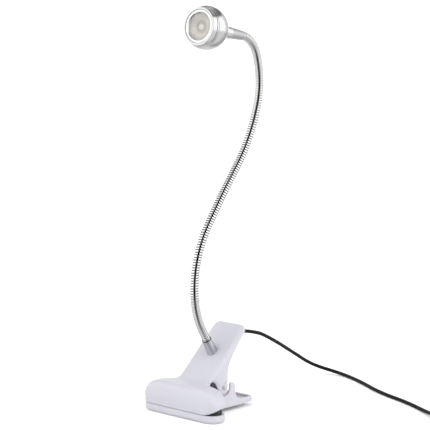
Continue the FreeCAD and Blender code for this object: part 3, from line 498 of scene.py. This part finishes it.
def upper_shape(p):
    """The upper jaw: a half-round toe and a hollow, sloping lever in one moulding."""
    x, y, z = p[..., 0], p[..., 1], p[..., 2]
    # the toe is a long half round, a little proud at mid height; its ends come down in an ellipse
    plan = stadium(x, y - 9.5, 39.6, 9.5, 9.4) - 0.8 * np.exp(-((z - 14.5) / 5.5) ** 2)
    end = np.maximum(np.abs(x) - 20.0, 0.0) / 23.0
    drop = np.sqrt(np.clip(1.0 - end ** 2, 0.04, 1.0))
    top = (z - 10.4 - 16.0 * drop) / np.sqrt(1 + np.clip(0.7 * end / drop, 0, 3) ** 2)
    toe = smax(plan, top, 6.0)
    along = (y - LEVER_START[1]) * COS + (z - LEVER_START[2]) * SIN
    side = outline_distance(y, z, LEVER_LINE)
    # the lever's free end has rounded corners, seen square to its face
    qx, qa = np.abs(x) - 10.6, along - 59.0
    corner = np.hypot(np.maximum(qx, 0), np.maximum(qa, 0))
    corner = corner + np.minimum(np.maximum(qx, qa), 0) - 7.0
    lever = smax(smax(side, np.abs(x) - 17.6, 4.0), corner, 1.6)
    cavity = smax(outline_distance(y, z, CAVITY_LINE), np.abs(x) - 15.6, 1.0)
    recess = np.maximum(outline_distance(y, z, STRIP_LINE), np.abs(x) - 15.7)
    lever = smax(smax(lever, -cavity, 0.8), -recess, 0.3)
    # a round pocket over the pin, open toward the rear
    slot_y = y - 38.6 - np.clip(y - 38.6, 0, 6.0)
    pocket = np.maximum(np.hypot(slot_y, z - 20.9) - 3.1, 16.3 - np.abs(x))
    lever = smax(lever, -pocket, 0.8)
    body = smin(toe, lever, 5.0)
    return smax(body, -toe_lift(p), 0.4)


def rim_shape(p):
    """The toe's raised rim: a thin band round it, just above the parting."""
    skin = upper_shape(p)
    band = np.maximum(skin - 0.28, -skin - 1.0)
    return np.maximum(np.maximum(band, np.abs(toe_lift(p) - 1.7) - 0.9), p[..., 1] - 16.5)


LEVER_LINE = smoothed(LEVER_SIDE, 2)
CAVITY_LINE = smoothed(CAVITY_SIDE, 1)
STRIP_LINE = np.array(REAR_STRIP)

HANDLE_SIDE = [
    (16.0, 3.6), (58.0, 3.6), (62.0, 3.8), (62.0, 8.0), (57.5, 8.2), (53.6, 9.2), (51.6, 11.6),
    (51.0, 15.6), (50.9, 19.6), (49.4, 22.6), (46.4, 23.8), (44.2, 22.6), (44.5, 19.0), (42.4, 14.0),
    (37.3, 12.8), (32.4, 14.9), (29.8, 18.6), (27.6, 20.9), (25.0, 22.2), (22.2, 22.2), (20.4, 20.4),
    (18.6, 17.6), (17.0, 12.0), (16.0, 7.0),
]


def lower_shape(p):
    """The lower jaw: a long flat foot with a seat for the pad, and a channel-shaped handle."""
    x, y, z = p[..., 0], p[..., 1], p[..., 2]
    plan = stadium(x, y - 9.5, 40.0, 9.5, 9.4)
    plate = smax(smax(plan, z - 6.5, 0.5), -z, 3.4)
    seat = np.maximum(stadium(x, y - 9.5, 37.8, 7.3, 7.2), 5.0 - z)
    tongue = smax(stadium(x, y - 44.7, 17.6, 27.7, 4.0), np.abs(z - 5.8) - 2.3, 1.4)
    scoop = smax(stadium(x, y - 45.7, 15.6, 24.7, 3.0), 5.5 - z, 0.8)
    sides = smax(outline_distance(y, z, HANDLE_LINE), np.abs(x) - 17.6, 1.6)
    sides = np.maximum(sides, 15.6 - np.abs(x))
    lug = np.minimum(
        np.hypot(y - PIVOT_Y, z - PIVOT_Z) - 5.2,
        np.maximum(np.abs(y - PIVOT_Y) - 5.2, np.abs(z - 12.0) - 8.0),
    )
    lug = smax(lug, np.abs(np.abs(x) - 13.7) - 1.5, 0.6)
    keel = smax(smax(np.abs(x) - 1.5, np.abs(y - 41.0) - 24.0, 1.0), np.abs(z - 2.5) - 2.5, 1.0)
    keel = smax(keel, (y - 62.0) * 0.7 - z * 0.7, 1.0)
    body = smin(smax(plate, -seat, 0.4), smin(smax(tongue, -scoop, 0.8), sides, 1.6), 2.4)
    body = smin(smin(body, lug, 0.8), keel, 1.2)
    body = np.maximum(body, -seat)
    ear = np.maximum(outline_distance(y, z, LEVER_LINE) - 0.3, 15.3 - np.abs(x))
    hole = np.hypot(y - PIVOT_Y, z - PIVOT_Z) - 1.6
    body = smax(smax(body, -ear, 0.6), -hole, 0.3)
    return np.maximum(body, -z)


HANDLE_LINE = smoothed(HANDLE_SIDE, 1)
DIP_COS, DIP_SIN = math.cos(math.radians(8.0)), math.sin(math.radians(8.0))


def cover_shape(p):
    """The plate that closes the lever's hollow back, with the cord's outlet boss."""
    x, y, z = p[..., 0], p[..., 1], p[..., 2]
    plate = smax(outline_distance(y, z, COVER_LINE), np.abs(x) - 15.5, 0.7)
    # the cord's boss dips a little toward the rear and stays clear of the lever's plate
    out = (y - 66.0) * DIP_COS - (z - 60.2) * DIP_SIN
    across = np.hypot(x, (y - 66.0) * DIP_SIN + (z - 60.2) * DIP_COS)
    below = (z - LEVER_START[2]) * COS - (y - LEVER_START[1]) * SIN + 2.9
    boss = np.maximum(smax(across - 3.9, np.abs(out + 3.7) - 3.7, 0.8), below)
    return np.maximum(smin(plate, boss, 1.4), 1.52 - across)


COVER_LINE = smoothed([
    (63.2, 60.7), (58.0, 55.6), (54.8, 51.7), (51.4, 47.3), (48.3, 42.9), (45.3, 38.1),
    (44.1, 38.8), (47.1, 43.5), (50.2, 47.9), (53.6, 52.3), (56.9, 56.2), (62.2, 61.2),
], 1)


def solid(name, shape, low, high, step, material, body, shift=SHIFT):
    """A closed mesh of the surface where shape is zero, with its points moved onto it exactly."""
    low, high = np.array(low, float), np.array(high, float)
    counts = np.ceil((high - low) / step).astype(int) + 1
    axes = [low[i] + step * np.arange(counts[i]) for i in range(3)]
    field = np.empty(counts, np.float32)
    for i in range(0, counts[0], 24):
        block = np.stack(np.meshgrid(axes[0][i:i + 24], axes[1], axes[2], indexing="ij"), -1)
        field[i:i + 24] = shape(block)
    grid = openvdb.FloatGrid(4 * step)
    grid.copyFromArray(np.clip(field, -4 * step, 4 * step))
    points, quads = grid.convertToQuads(isovalue=0.0)
    points = low + np.asarray(points, float) * step
    for _ in range(2):
        value, slope = shape(points), np.empty_like(points)
        for i in range(3):
            nudge = np.zeros(3)
            nudge[i] = 0.02
            slope[:, i] = (shape(points + nudge) - shape(points - nudge)) / 0.04
        size = np.maximum((slope ** 2).sum(1), 0.3)
        move = slope * (value / size)[:, None]
        reach = np.linalg.norm(move, axis=1, keepdims=True)
        points -= move * np.minimum(1.0, 0.3 * step / np.maximum(reach, 1e-9))
    return piece(name, (points + shift) * MM, quads[:, ::-1], material, body)


STEP, RIM_STEP = ((0.5, 0.3))
upper = solid("upper_clip", upper_shape, (-42, -3, 0), (42, 70, 71), STEP, WHITE, "upper_clip")
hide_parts("upper_jaw_shell")
rim = solid("toe_rim", rim_shape, (-42, -3, 5), (42, 18, 16), RIM_STEP, WHITE, "upper_clip")
lower = solid("lower_clip", lower_shape, (-42, -2, -2), (42, 74, 26), STEP, WHITE, "lower_clip")
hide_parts("lower_jaw_shell")
cover = solid("back_cover", cover_shape, (-18, 42, 36), (18, 68, 66), STEP * 0.8, WHITE,
              "upper_clip")
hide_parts("lever_back_cover")

# ---------------------------------------------------------------- gooseneck hose

HOSE_FOOT = Vector((0.0, 25.2, 57.4))
HOSE_LEAN = -32.0
HOSE_RUNS = [(9.5, 1.0), (34.0, 30.0), (55.0, 35.5), (53.5, 4.5), (57.0, -22.5), (28.0, -23.8),
             (14.8, -10.7), (24.4, -63.0)]
HOSE_LENGTH = sum(run for run, turn in HOSE_RUNS)
HOSE_RADIUS, RING_PITCH, RING_DEPTH = 3.5, 2.05, 0.46
KNUCKLES = [4.5, 43.5, 98.5, 152.0, 209.0, 237.0, HOSE_LENGTH - 4.5]


def lean_vector(degrees):
    """A direction in the middle plane, so many degrees from upright toward +Y."""
    return Vector((0.0, math.sin(math.radians(degrees)), math.cos(math.radians(degrees))))


def flat_hose_at(length):
    """(point, direction) of the hose's centreline, in mm; straight on beyond its two ends."""
    point, lean, here = HOSE_FOOT.copy(), HOSE_LEAN, 0.0
    if length <= 0:
        return point + lean_vector(lean) * length, lean_vector(lean)
    for run, turn in HOSE_RUNS:
        along = min(length - here, run)
        bend = turn * along / run
        half = math.radians(bend / 2)
        chord = along * (math.sin(half) / half if abs(half) > 1e-9 else 1.0)
        point = point + lean_vector(lean + bend / 2) * chord
        if length <= here + run:
            return point, lean_vector(lean + bend)
        here, lean = here + run, lean + turn
    return point + lean_vector(lean) * (length - here), lean_vector(lean)


HEAD_YAW = math.radians(5.0)
TOP_KNUCKLE = flat_hose_at(KNUCKLES[-1])[0]


def hose_at(length):
    """As flat_hose_at, with the head's end turned a little sideways round the top knuckle."""
    point, way = flat_hose_at(length)
    share = min(max((length - KNUCKLES[-1] + 13.0) / 18.0, 0.0), 1.0)
    turn = Matrix.Rotation(HEAD_YAW * share * share * (3 - 2 * share), 3, "Z")
    return TOP_KNUCKLE + turn @ (point - TOP_KNUCKLE), turn @ way


RING_SECTION = [(0.0, 1.0), (0.07, 0.9), (0.13, 0.5), (0.2, 0.16), (0.32, 0.03), (0.5, 0.0),
                (0.68, 0.03), (0.8, 0.16), (0.87, 0.5), (0.93, 0.9), (1.0, 1.0)]


def hose_strip(name, low, high, around=40):
    """Close-wound steel strip: one long helix of beads between two numbers of turns."""
    verts, faces, groove_shade = [], [], []
    width = len(RING_SECTION)
    count = int(round((high - low) * around))
    for i in range(count + 1):
        turns = low + i / around
        angle = 2 * math.pi * turns
        for u, depth in RING_SECTION:
            spot, way = hose_at((turns + u) * RING_PITCH)
            side = (Vector((1, 0, 0)) - way * way.x).normalized()
            out = side * math.cos(angle) + way.cross(side) * math.sin(angle)
            verts.append((spot + out * (HOSE_RADIUS - RING_DEPTH * depth)) * MM)
            # the share of painted groove shade at this point, from its depth in the bead's section
            groove_shade.append(min(1.0, max(0.0, (depth - 0.18) / 0.5)))
        if i:
            a, b = (i - 1) * width, i * width
            faces += [(a + k, b + k, b + k + 1, a + k + 1) for k in range(width - 1)]
    made = piece(name, verts, faces, CHROME)
    set_attribute(made, "groove_shade", groove_shade)
    return made


STOPS = [-3.0]
for first, second in zip(KNUCKLES, KNUCKLES[1:]):
    STOPS.append((first + second) / 2)
STOPS.append(HOSE_LENGTH + 3.0)
for n, (knuckle, low, high) in enumerate(zip(KNUCKLES, STOPS, STOPS[1:])):
    low_turn = round(low / RING_PITCH)
    high_turn = round(high / RING_PITCH)
    strip = hose_strip(f"hose_winding_{n + 1}", low_turn, high_turn)
    reach = min(13.0, knuckle - STOPS[n], STOPS[n + 1] - knuckle) - 0.8
    start, end = hose_at(knuckle - reach)[0] * MM, hose_at(knuckle + reach)[0] * MM
    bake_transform(strip)
    hidden = ["hose_foot", *[f"hose_{k}" for k in range(1, 7)]][n]
    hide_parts(hidden)
    if n == 6:
        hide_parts("hose_top")

# ---------------------------------------------------------------- foot sleeve and its black ring

FOOT_AXIS = lean_vector(HOSE_LEAN)
foot_sleeve = lathe("foot_sleeve", [
    (3.45, -2.0, 0), (3.45, -0.1, 0), (3.55, 0.0, 0.1), (3.8, 0.0, 0.35), (4.7, -13.5, 0.5),
    (4.9, -19.0, 0.0),
], HOSE_FOOT, FOOT_AXIS, SATIN, "upper_clip")
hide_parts("neck_foot_sleeve")
foot_ring = lathe("foot_ring", [
    (3.3, 0.0, 0), (3.9, 0.0, 0.3), (3.9, 0.9, 0.3), (3.3, 0.9, 0),
], HOSE_FOOT, FOOT_AXIS, SEAL, "upper_clip")
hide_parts("neck_seal_ring")

# ---------------------------------------------------------------- head

HEAD_AXIS = hose_at(HOSE_LENGTH + 1)[1]
SLEEVE_AND_COLLAR = 46.7
BALL = hose_at(HOSE_LENGTH + SLEEVE_AND_COLLAR)[0]
BALL_RADIUS = 17.4


def ball_arc(radius, start, end, count):
    """Section points of a ball between two heights on it, with no fillets."""
    a, b = math.acos(start / radius), math.acos(end / radius)
    angles = [a + (b - a) * k / count for k in range(count + 1)]
    return [(radius * math.sin(angle), radius * math.cos(angle), 0) for angle in angles]


def ball_groove(height):
    """Section points of a fine turned groove round the ball at this height."""
    radius = math.sqrt(BALL_RADIUS ** 2 - height ** 2)
    return [(radius + 0.04, height - 0.2, 0), (radius - 0.14, height - 0.06, 0),
            (radius - 0.14, height + 0.06, 0), (radius - 0.05, height + 0.2, 0)]


housing = lathe("head_housing_skin", [
    (4.6, -16.2, 0), (5.4, -16.5, 0.3),
    *ball_arc(BALL_RADIUS, -15.9, 4.75, 40), *ball_groove(5.0),
    *ball_arc(BALL_RADIUS, 5.25, 6.15, 3), *ball_groove(6.4),
    *ball_arc(BALL_RADIUS, 6.65, 8.2, 6), (15.1, 8.7, 0.3), (14.9, 9.8, 0.45),
    (13.4, 9.8, 0.25), (13.35, 6.8, 0.0), (12.0, 6.7, 0.0),
], BALL, HEAD_AXIS, HEAD, "head", around=160, sharp=28)
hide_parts("head_housing")
bezel = lathe("bezel_ring", [
    (13.1, 6.6, 0), (13.1, 9.5, 0.3), (11.3, 9.5, 0.3), (10.8, 8.7, 0.15), (10.8, 7.4, 0.0),
    (11.4, 7.2, 0),
], BALL, HEAD_AXIS, BEZEL, "head", around=160, sharp=28)
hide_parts("front_bezel")
bowl = lathe("reflector_bowl", [
    (2.3, 6.3, 0), (2.9, 6.35, 0.3), (5.0, 6.2, 0.8), (7.6, 6.7, 1.5), (9.9, 7.7, 1.0),
    (10.9, 8.3, 0),
], BALL, HEAD_AXIS, REFLECTOR, "head", around=128, sharp=60)
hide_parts("reflector")
lens_dome = lathe("lens_cap", [
    (0.01, 8.75, 0), (6.0, 8.7, 6.0), (10.75, 8.6, 0.2), (10.75, 8.45, 0.05), (0.01, 8.5, 0),
], BALL, HEAD_AXIS, LENS, "head", around=96, sharp=40)
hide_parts("lens")
chip = lathe("led_dome", [
    (2.5, 1.0, 0), (2.4, 6.3, 0.2), (1.9, 6.7, 0.5), (1.0, 7.0, 0.6), (0.01, 7.05, 0),
], BALL, HEAD_AXIS, LED, "head", around=64, sharp=60)
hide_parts("led_chip")
collar = lathe("collar_skin", [
    (4.0, -15.9, 0), (4.5, -16.3, 0.1), (4.5, -17.5, 0.1), (5.1, -18.1, 0.3), (5.1, -28.8, 0.4),
    (4.5, -30.0, 0.3), (3.9, -30.0, 0),
], BALL, HEAD_AXIS, HEAD, "head")
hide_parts("head_collar")
sleeve = lathe("head_sleeve_skin", [
    (4.0, -29.9, 0), (4.35, -30.0, 0.1), (4.35, -34.0, 0.5), (3.85, -46.3, 0.3),
    (3.45, -SLEEVE_AND_COLLAR, 0.1),
    (3.45, -44.0, 0),
], BALL, HEAD_AXIS, SATIN, "head")
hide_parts("head_sleeve")

# ---------------------------------------------------------------- cord


def curve_cord(name, route, radius, material, body):
    """A round cord along points in metres."""
    data = bpy.data.curves.new(name, "CURVE")
    data.dimensions = "3D"
    spline = data.splines.new("NURBS")
    spline.points.add(len(route) - 1)
    for point, spot in zip(spline.points, route):
        point.co = (*spot, 1.0)
    spline.order_u = 3
    spline.use_endpoint_u = True
    spline.resolution_u = 12
    data.bevel_depth = radius
    data.bevel_resolution = 6
    data.use_fill_caps = True
    data.materials.append(material)
    made = bpy.data.objects.new(name, data)
    bpy.context.scene.collection.objects.link(made)
    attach(made, body)
    return made


LEAD_ROUTE = [
    (0.0, 0.056, 0.0602), (0.0, 0.08273, 0.05644), (-0.005, 0.1104, 0.0444),
    (-0.014, 0.1487, 0.0253), (-0.020, 0.1807, 0.0085), (0.001, 0.1953, 0.0015),
    (0.032, 0.183, 0.0015), (0.070, 0.162, 0.0015), (0.108, 0.150, 0.0015),
    (0.139, 0.1345, 0.0016), (0.154, 0.1245, 0.0042), (0.170, 0.1135, 0.0045),
]
COIL_ROUTE = [
    (0.198, 0.0942, 0.0045), (0.210, 0.0866, 0.0036), (0.222, 0.0822, 0.0024),
]
PLUG_ROUTE = [
    (0.2258, 0.1156, 0.0046), (0.213, 0.120, 0.0041), (0.199, 0.1226, 0.0040),
]
COIL_CENTRE = Vector((0.23787, 0.09699, 0.0))
# where each turn of the coil lies in its section: (radius, height)
COIL_SLOTS = [
    (0.0165, 0.0024), (0.0135, 0.0024), (0.0150, 0.0050), (0.0135, 0.0076), (0.0165, 0.0076),
    (0.0195, 0.0076), (0.0180, 0.0050), (0.0195, 0.0024),
]
COIL_TURNS, COIL_POINTS = 7.5, 16
COIL_SHIFT = 0.2  # the share of a turn in which the cord moves over
COIL_START = math.radians(-96.5)
LEAD_LENGTH, TAIL_LENGTH, CORD_RADIUS = 0.347, 0.846, 0.0015


def coil_turns():
    """Points of the wound cord: each turn keeps its slot, then moves over to the next one."""
    out, last = [], len(COIL_SLOTS) - 1
    for i in range(1, int(COIL_TURNS * COIL_POINTS)):
        turns = i / COIL_POINTS
        slot = min(int(turns), last)
        share = max(0.0, (turns - slot - 1 + COIL_SHIFT) / COIL_SHIFT) if slot < last else 0.0
        (r0, z0), (r1, z1) = COIL_SLOTS[slot], COIL_SLOTS[min(slot + 1, last)]
        radius, height = r0 + (r1 - r0) * share, z0 + (z1 - z0) * share
        angle = COIL_START + 2 * math.pi * turns
        out.append((COIL_CENTRE.x + radius * math.cos(angle),
                    COIL_CENTRE.y + radius * math.sin(angle), height))
    return out


lead = curve_cord("cord_lead_line", LEAD_ROUTE, CORD_RADIUS, CORD, "upper_clip")
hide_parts("cord_lead")
TAIL_ROUTE = [*COIL_ROUTE, *coil_turns(), *PLUG_ROUTE]
tail = curve_cord("cord_tail_line", TAIL_ROUTE, CORD_RADIUS, CORD, "upper_clip")
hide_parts("cord_middle", "cord_coil", "cord_tail")

DIP_AXIS = (0.0, DIP_COS, -DIP_SIN)
relief_section = [(1.45, 0.0, 0), (3.2, 0.0, 0.2), (3.2, 2.0, 0.2)]
for rib in range(5):
    start, wide = 2.3 + rib * 2.2, 2.95 - rib * 0.18
    relief_section += [(wide - 0.5, start, 0.1), (wide - 0.5, start + 0.7, 0.1),
                       (wide, start + 0.9, 0.15), (wide - 0.1, start + 2.0, 0.15)]
relief_section += [(2.0, 13.5, 0.1), (2.0, 14.0, 0.3), (1.45, 14.0, 0)]
relief = lathe("strain_relief", relief_section, (0.0, 56.0, 60.2), DIP_AXIS, PLASTIC, "upper_clip",
               around=48)
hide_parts("cord_strain_relief")


def turned_in(spot, degrees):
    """Takes points in mm in the row frame into a frame at spot, turned about Z."""
    c, s = math.cos(math.radians(degrees)), math.sin(math.radians(degrees))

    def local(p):
        x, y = p[..., 0] - spot[0], p[..., 1] - spot[1]
        return np.stack([x * c + y * s, y * c - x * s, p[..., 2]], -1)
    return local


SWITCH_SPOT, SWITCH_TURN = (170.0, 113.5), -34.5085
in_switch = turned_in(SWITCH_SPOT, SWITCH_TURN)


def switch_body(p):
    """The inline switch's case: two shells with a seam, grip ridges, and a well for the button."""
    q = in_switch(p)
    x, y, z = q[..., 0] - 17.0, q[..., 1], q[..., 2] - 4.5
    plan = stadium(x, y, 17.0 - 0.25 * np.maximum(np.abs(z) - 2.5, 0), 6.5, 4.0)
    block = smax(plan, np.abs(z) - 4.5, 2.4)
    seam = np.maximum(np.abs(z) - 0.2, -block - 0.35)
    well = np.maximum(stadium(x, y, 5.4, 3.4, 0.9), 0.3 - z)
    grip = np.maximum(np.maximum(np.abs(np.abs(x) - 12.6) % 1.6 - 0.4, -block - 0.3),
                      np.maximum(np.abs(np.abs(x) - 12.6) - 2.0, 1.0 - z))
    bore = np.hypot(y, z) - 1.5
    return np.maximum(np.maximum(np.maximum(np.maximum(block, -seam), -well), -grip), -bore)


def switch_key(p):
    """The switch's button, crowned and with a small dimple."""
    q = in_switch(p)
    x, y, z = q[..., 0] - 17.0, q[..., 1], q[..., 2]
    cap = 10.5 - 0.018 * (x ** 2) * 0.6
    key = smax(stadium(x, y, 5.0, 3.0, 0.7), np.maximum(z - cap, 6.0 - z), 0.8)
    dimple = 1.1 - np.sqrt(x ** 2 + y ** 2 + (z - 11.2) ** 2)
    return smax(key, dimple, 0.3)


ROW = np.zeros(3)
FINE = 0.25
switch_skin = solid("switch_case", switch_body, (166, 86, -0.5), (204, 122, 9.5), FINE, PLASTIC,
                    "upper_clip", ROW)
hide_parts("switch_shell_top", "switch_shell_bottom")
switch_cap = solid("switch_cap", switch_key, (176, 96, 5), (192, 112, 11), FINE, PLASTIC,
                   "switch_button", ROW)
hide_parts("switch_button")

PLUG_SPOT, PLUG_TURN = (199.0, 122.6), 169.4795
in_plug = turned_in(PLUG_SPOT, PLUG_TURN)


def plug_shape(p):
    """The plug's grip, narrower where the cord enters, with three finger grooves on each side."""
    q = in_plug(p)
    x, y, z = q[..., 0], q[..., 1], q[..., 2] - 4.0
    wide = 7.5 - 0.9 * np.clip((6.0 - x) / 6.0, 0, 1) ** 2 * 2.4
    block = smax(stadium(x - 12.0, y * 7.5 / wide, 12.0, 7.5, 3.0), np.abs(z) - 4.0, 1.6)
    ribs = np.maximum(np.maximum(np.abs(x - 9.0) - 3.6, np.abs((x % 2.4) - 1.2) - 0.45),
                      6.6 - np.abs(y))
    return np.maximum(block, -ribs)


plug_skin = solid("plug_grip", plug_shape, (172, 113, -0.5), (202, 137, 8.5), FINE, PLASTIC,
                  "upper_clip", ROW)
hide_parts("plug_body")
for made, angle in ((rim, 40), (switch_skin, 40), (switch_cap, 40), (plug_skin, 40)):
    creases(made, angle)

# ---------------------------------------------------------------- light and floor

floor = piece("floor", [(-40, -40, 0), (40, -40, 0), (40, 60, 0), (-40, 60, 0)],
              [(0, 1, 2, 3)], FLOOR)
floor.visible_glossy = False


def tent_world():
    """A white tent: dark overhead, a dark slit at its open front and a little grey below."""
    world = bpy.data.worlds.new("world")
    world.use_nodes = True
    tree = world.node_tree
    background = tree.nodes["Background"]
    where = tree.nodes.new("ShaderNodeTexCoord").outputs["Generated"]
    front = where
    for operation, second in (("MULTIPLY", (1.0, 1.0, 0.0)), ("NORMALIZE", None),
                              ("DOT_PRODUCT", (math.sin(AZIMUTH), -math.cos(AZIMUTH), 0.0))):
        step = tree.nodes.new("ShaderNodeVectorMath")
        step.operation = operation
        tree.links.new(front, step.inputs[0])
        if second:
            step.inputs[1].default_value = second
        front = step.outputs["Value" if operation == "DOT_PRODUCT" else "Vector"]
    over = tree.nodes.new("ShaderNodeVectorMath")
    over.operation = "DOT_PRODUCT"
    over.inputs[1].default_value = (-0.3 * math.sin(AZIMUTH), 0.3 * math.cos(AZIMUTH), 1.0)
    tree.links.new(where, over.inputs[0])
    split = tree.nodes.new("ShaderNodeSeparateXYZ")
    tree.links.new(where, split.inputs[0])
    bands = (
        (front, ((0.0, 1.0), (0.03, 1.0), (0.06, 0.5), (0.22, 0.62), (0.30, 1.0), (0.932, 1.0),
                 (0.944, 0.0))),
        (split.outputs["Z"], ((0.38, 0.62), (0.42, 1.0))),
        (over.outputs["Value"], ((0.83, 1.0), (0.85, 0.1), (0.93, 0.24), (1.0, 0.5))),
    )
    shade = None
    for value, stops in bands:
        spread = tree.nodes.new("ShaderNodeMapRange")
        spread.inputs["From Min"].default_value = -1.0
        tree.links.new(value, spread.inputs["Value"])
        ramp = tree.nodes.new("ShaderNodeValToRGB")
        while len(ramp.color_ramp.elements) < len(stops):
            ramp.color_ramp.elements.new(0.5)
        for element, (position, grey) in zip(ramp.color_ramp.elements, stops):
            element.position = position
            element.color = (grey, grey, grey, 1.0)
        tree.links.new(spread.outputs[0], ramp.inputs[0])
        if shade is None:
            shade = ramp.outputs[0]
            continue
        mix = tree.nodes.new("ShaderNodeMix")
        mix.data_type = "RGBA"
        mix.blend_type = "MULTIPLY"
        mix.inputs["Factor"].default_value = 1.0
        tree.links.new(shade, mix.inputs["A"])
        tree.links.new(ramp.outputs[0], mix.inputs["B"])
        shade = mix.outputs["Result"]
    tree.links.new(shade, background.inputs[0])
    background.inputs[1].default_value = 1.4
    return world


bpy.context.scene.world = tent_world()


def soft_sun(name, way, strength, angle):
    """Soft daylight from one side, which mirrors don't show."""
    data = bpy.data.lights.new(name, "SUN")
    data.energy, data.angle = strength, math.radians(angle)
    made = bpy.data.objects.new(name, data)
    bpy.context.scene.collection.objects.link(made)
    made.rotation_mode = "QUATERNION"
    made.rotation_quaternion = Vector(way).to_track_quat("-Z", "Y")
    made.visible_glossy = False
    return made


soft_sun("daylight_left", (0.3, 0.5, -1.0), 1.4, 80.0)
soft_sun("daylight_right", (-0.9, 0.1, -0.8), 1.7, 80.0)
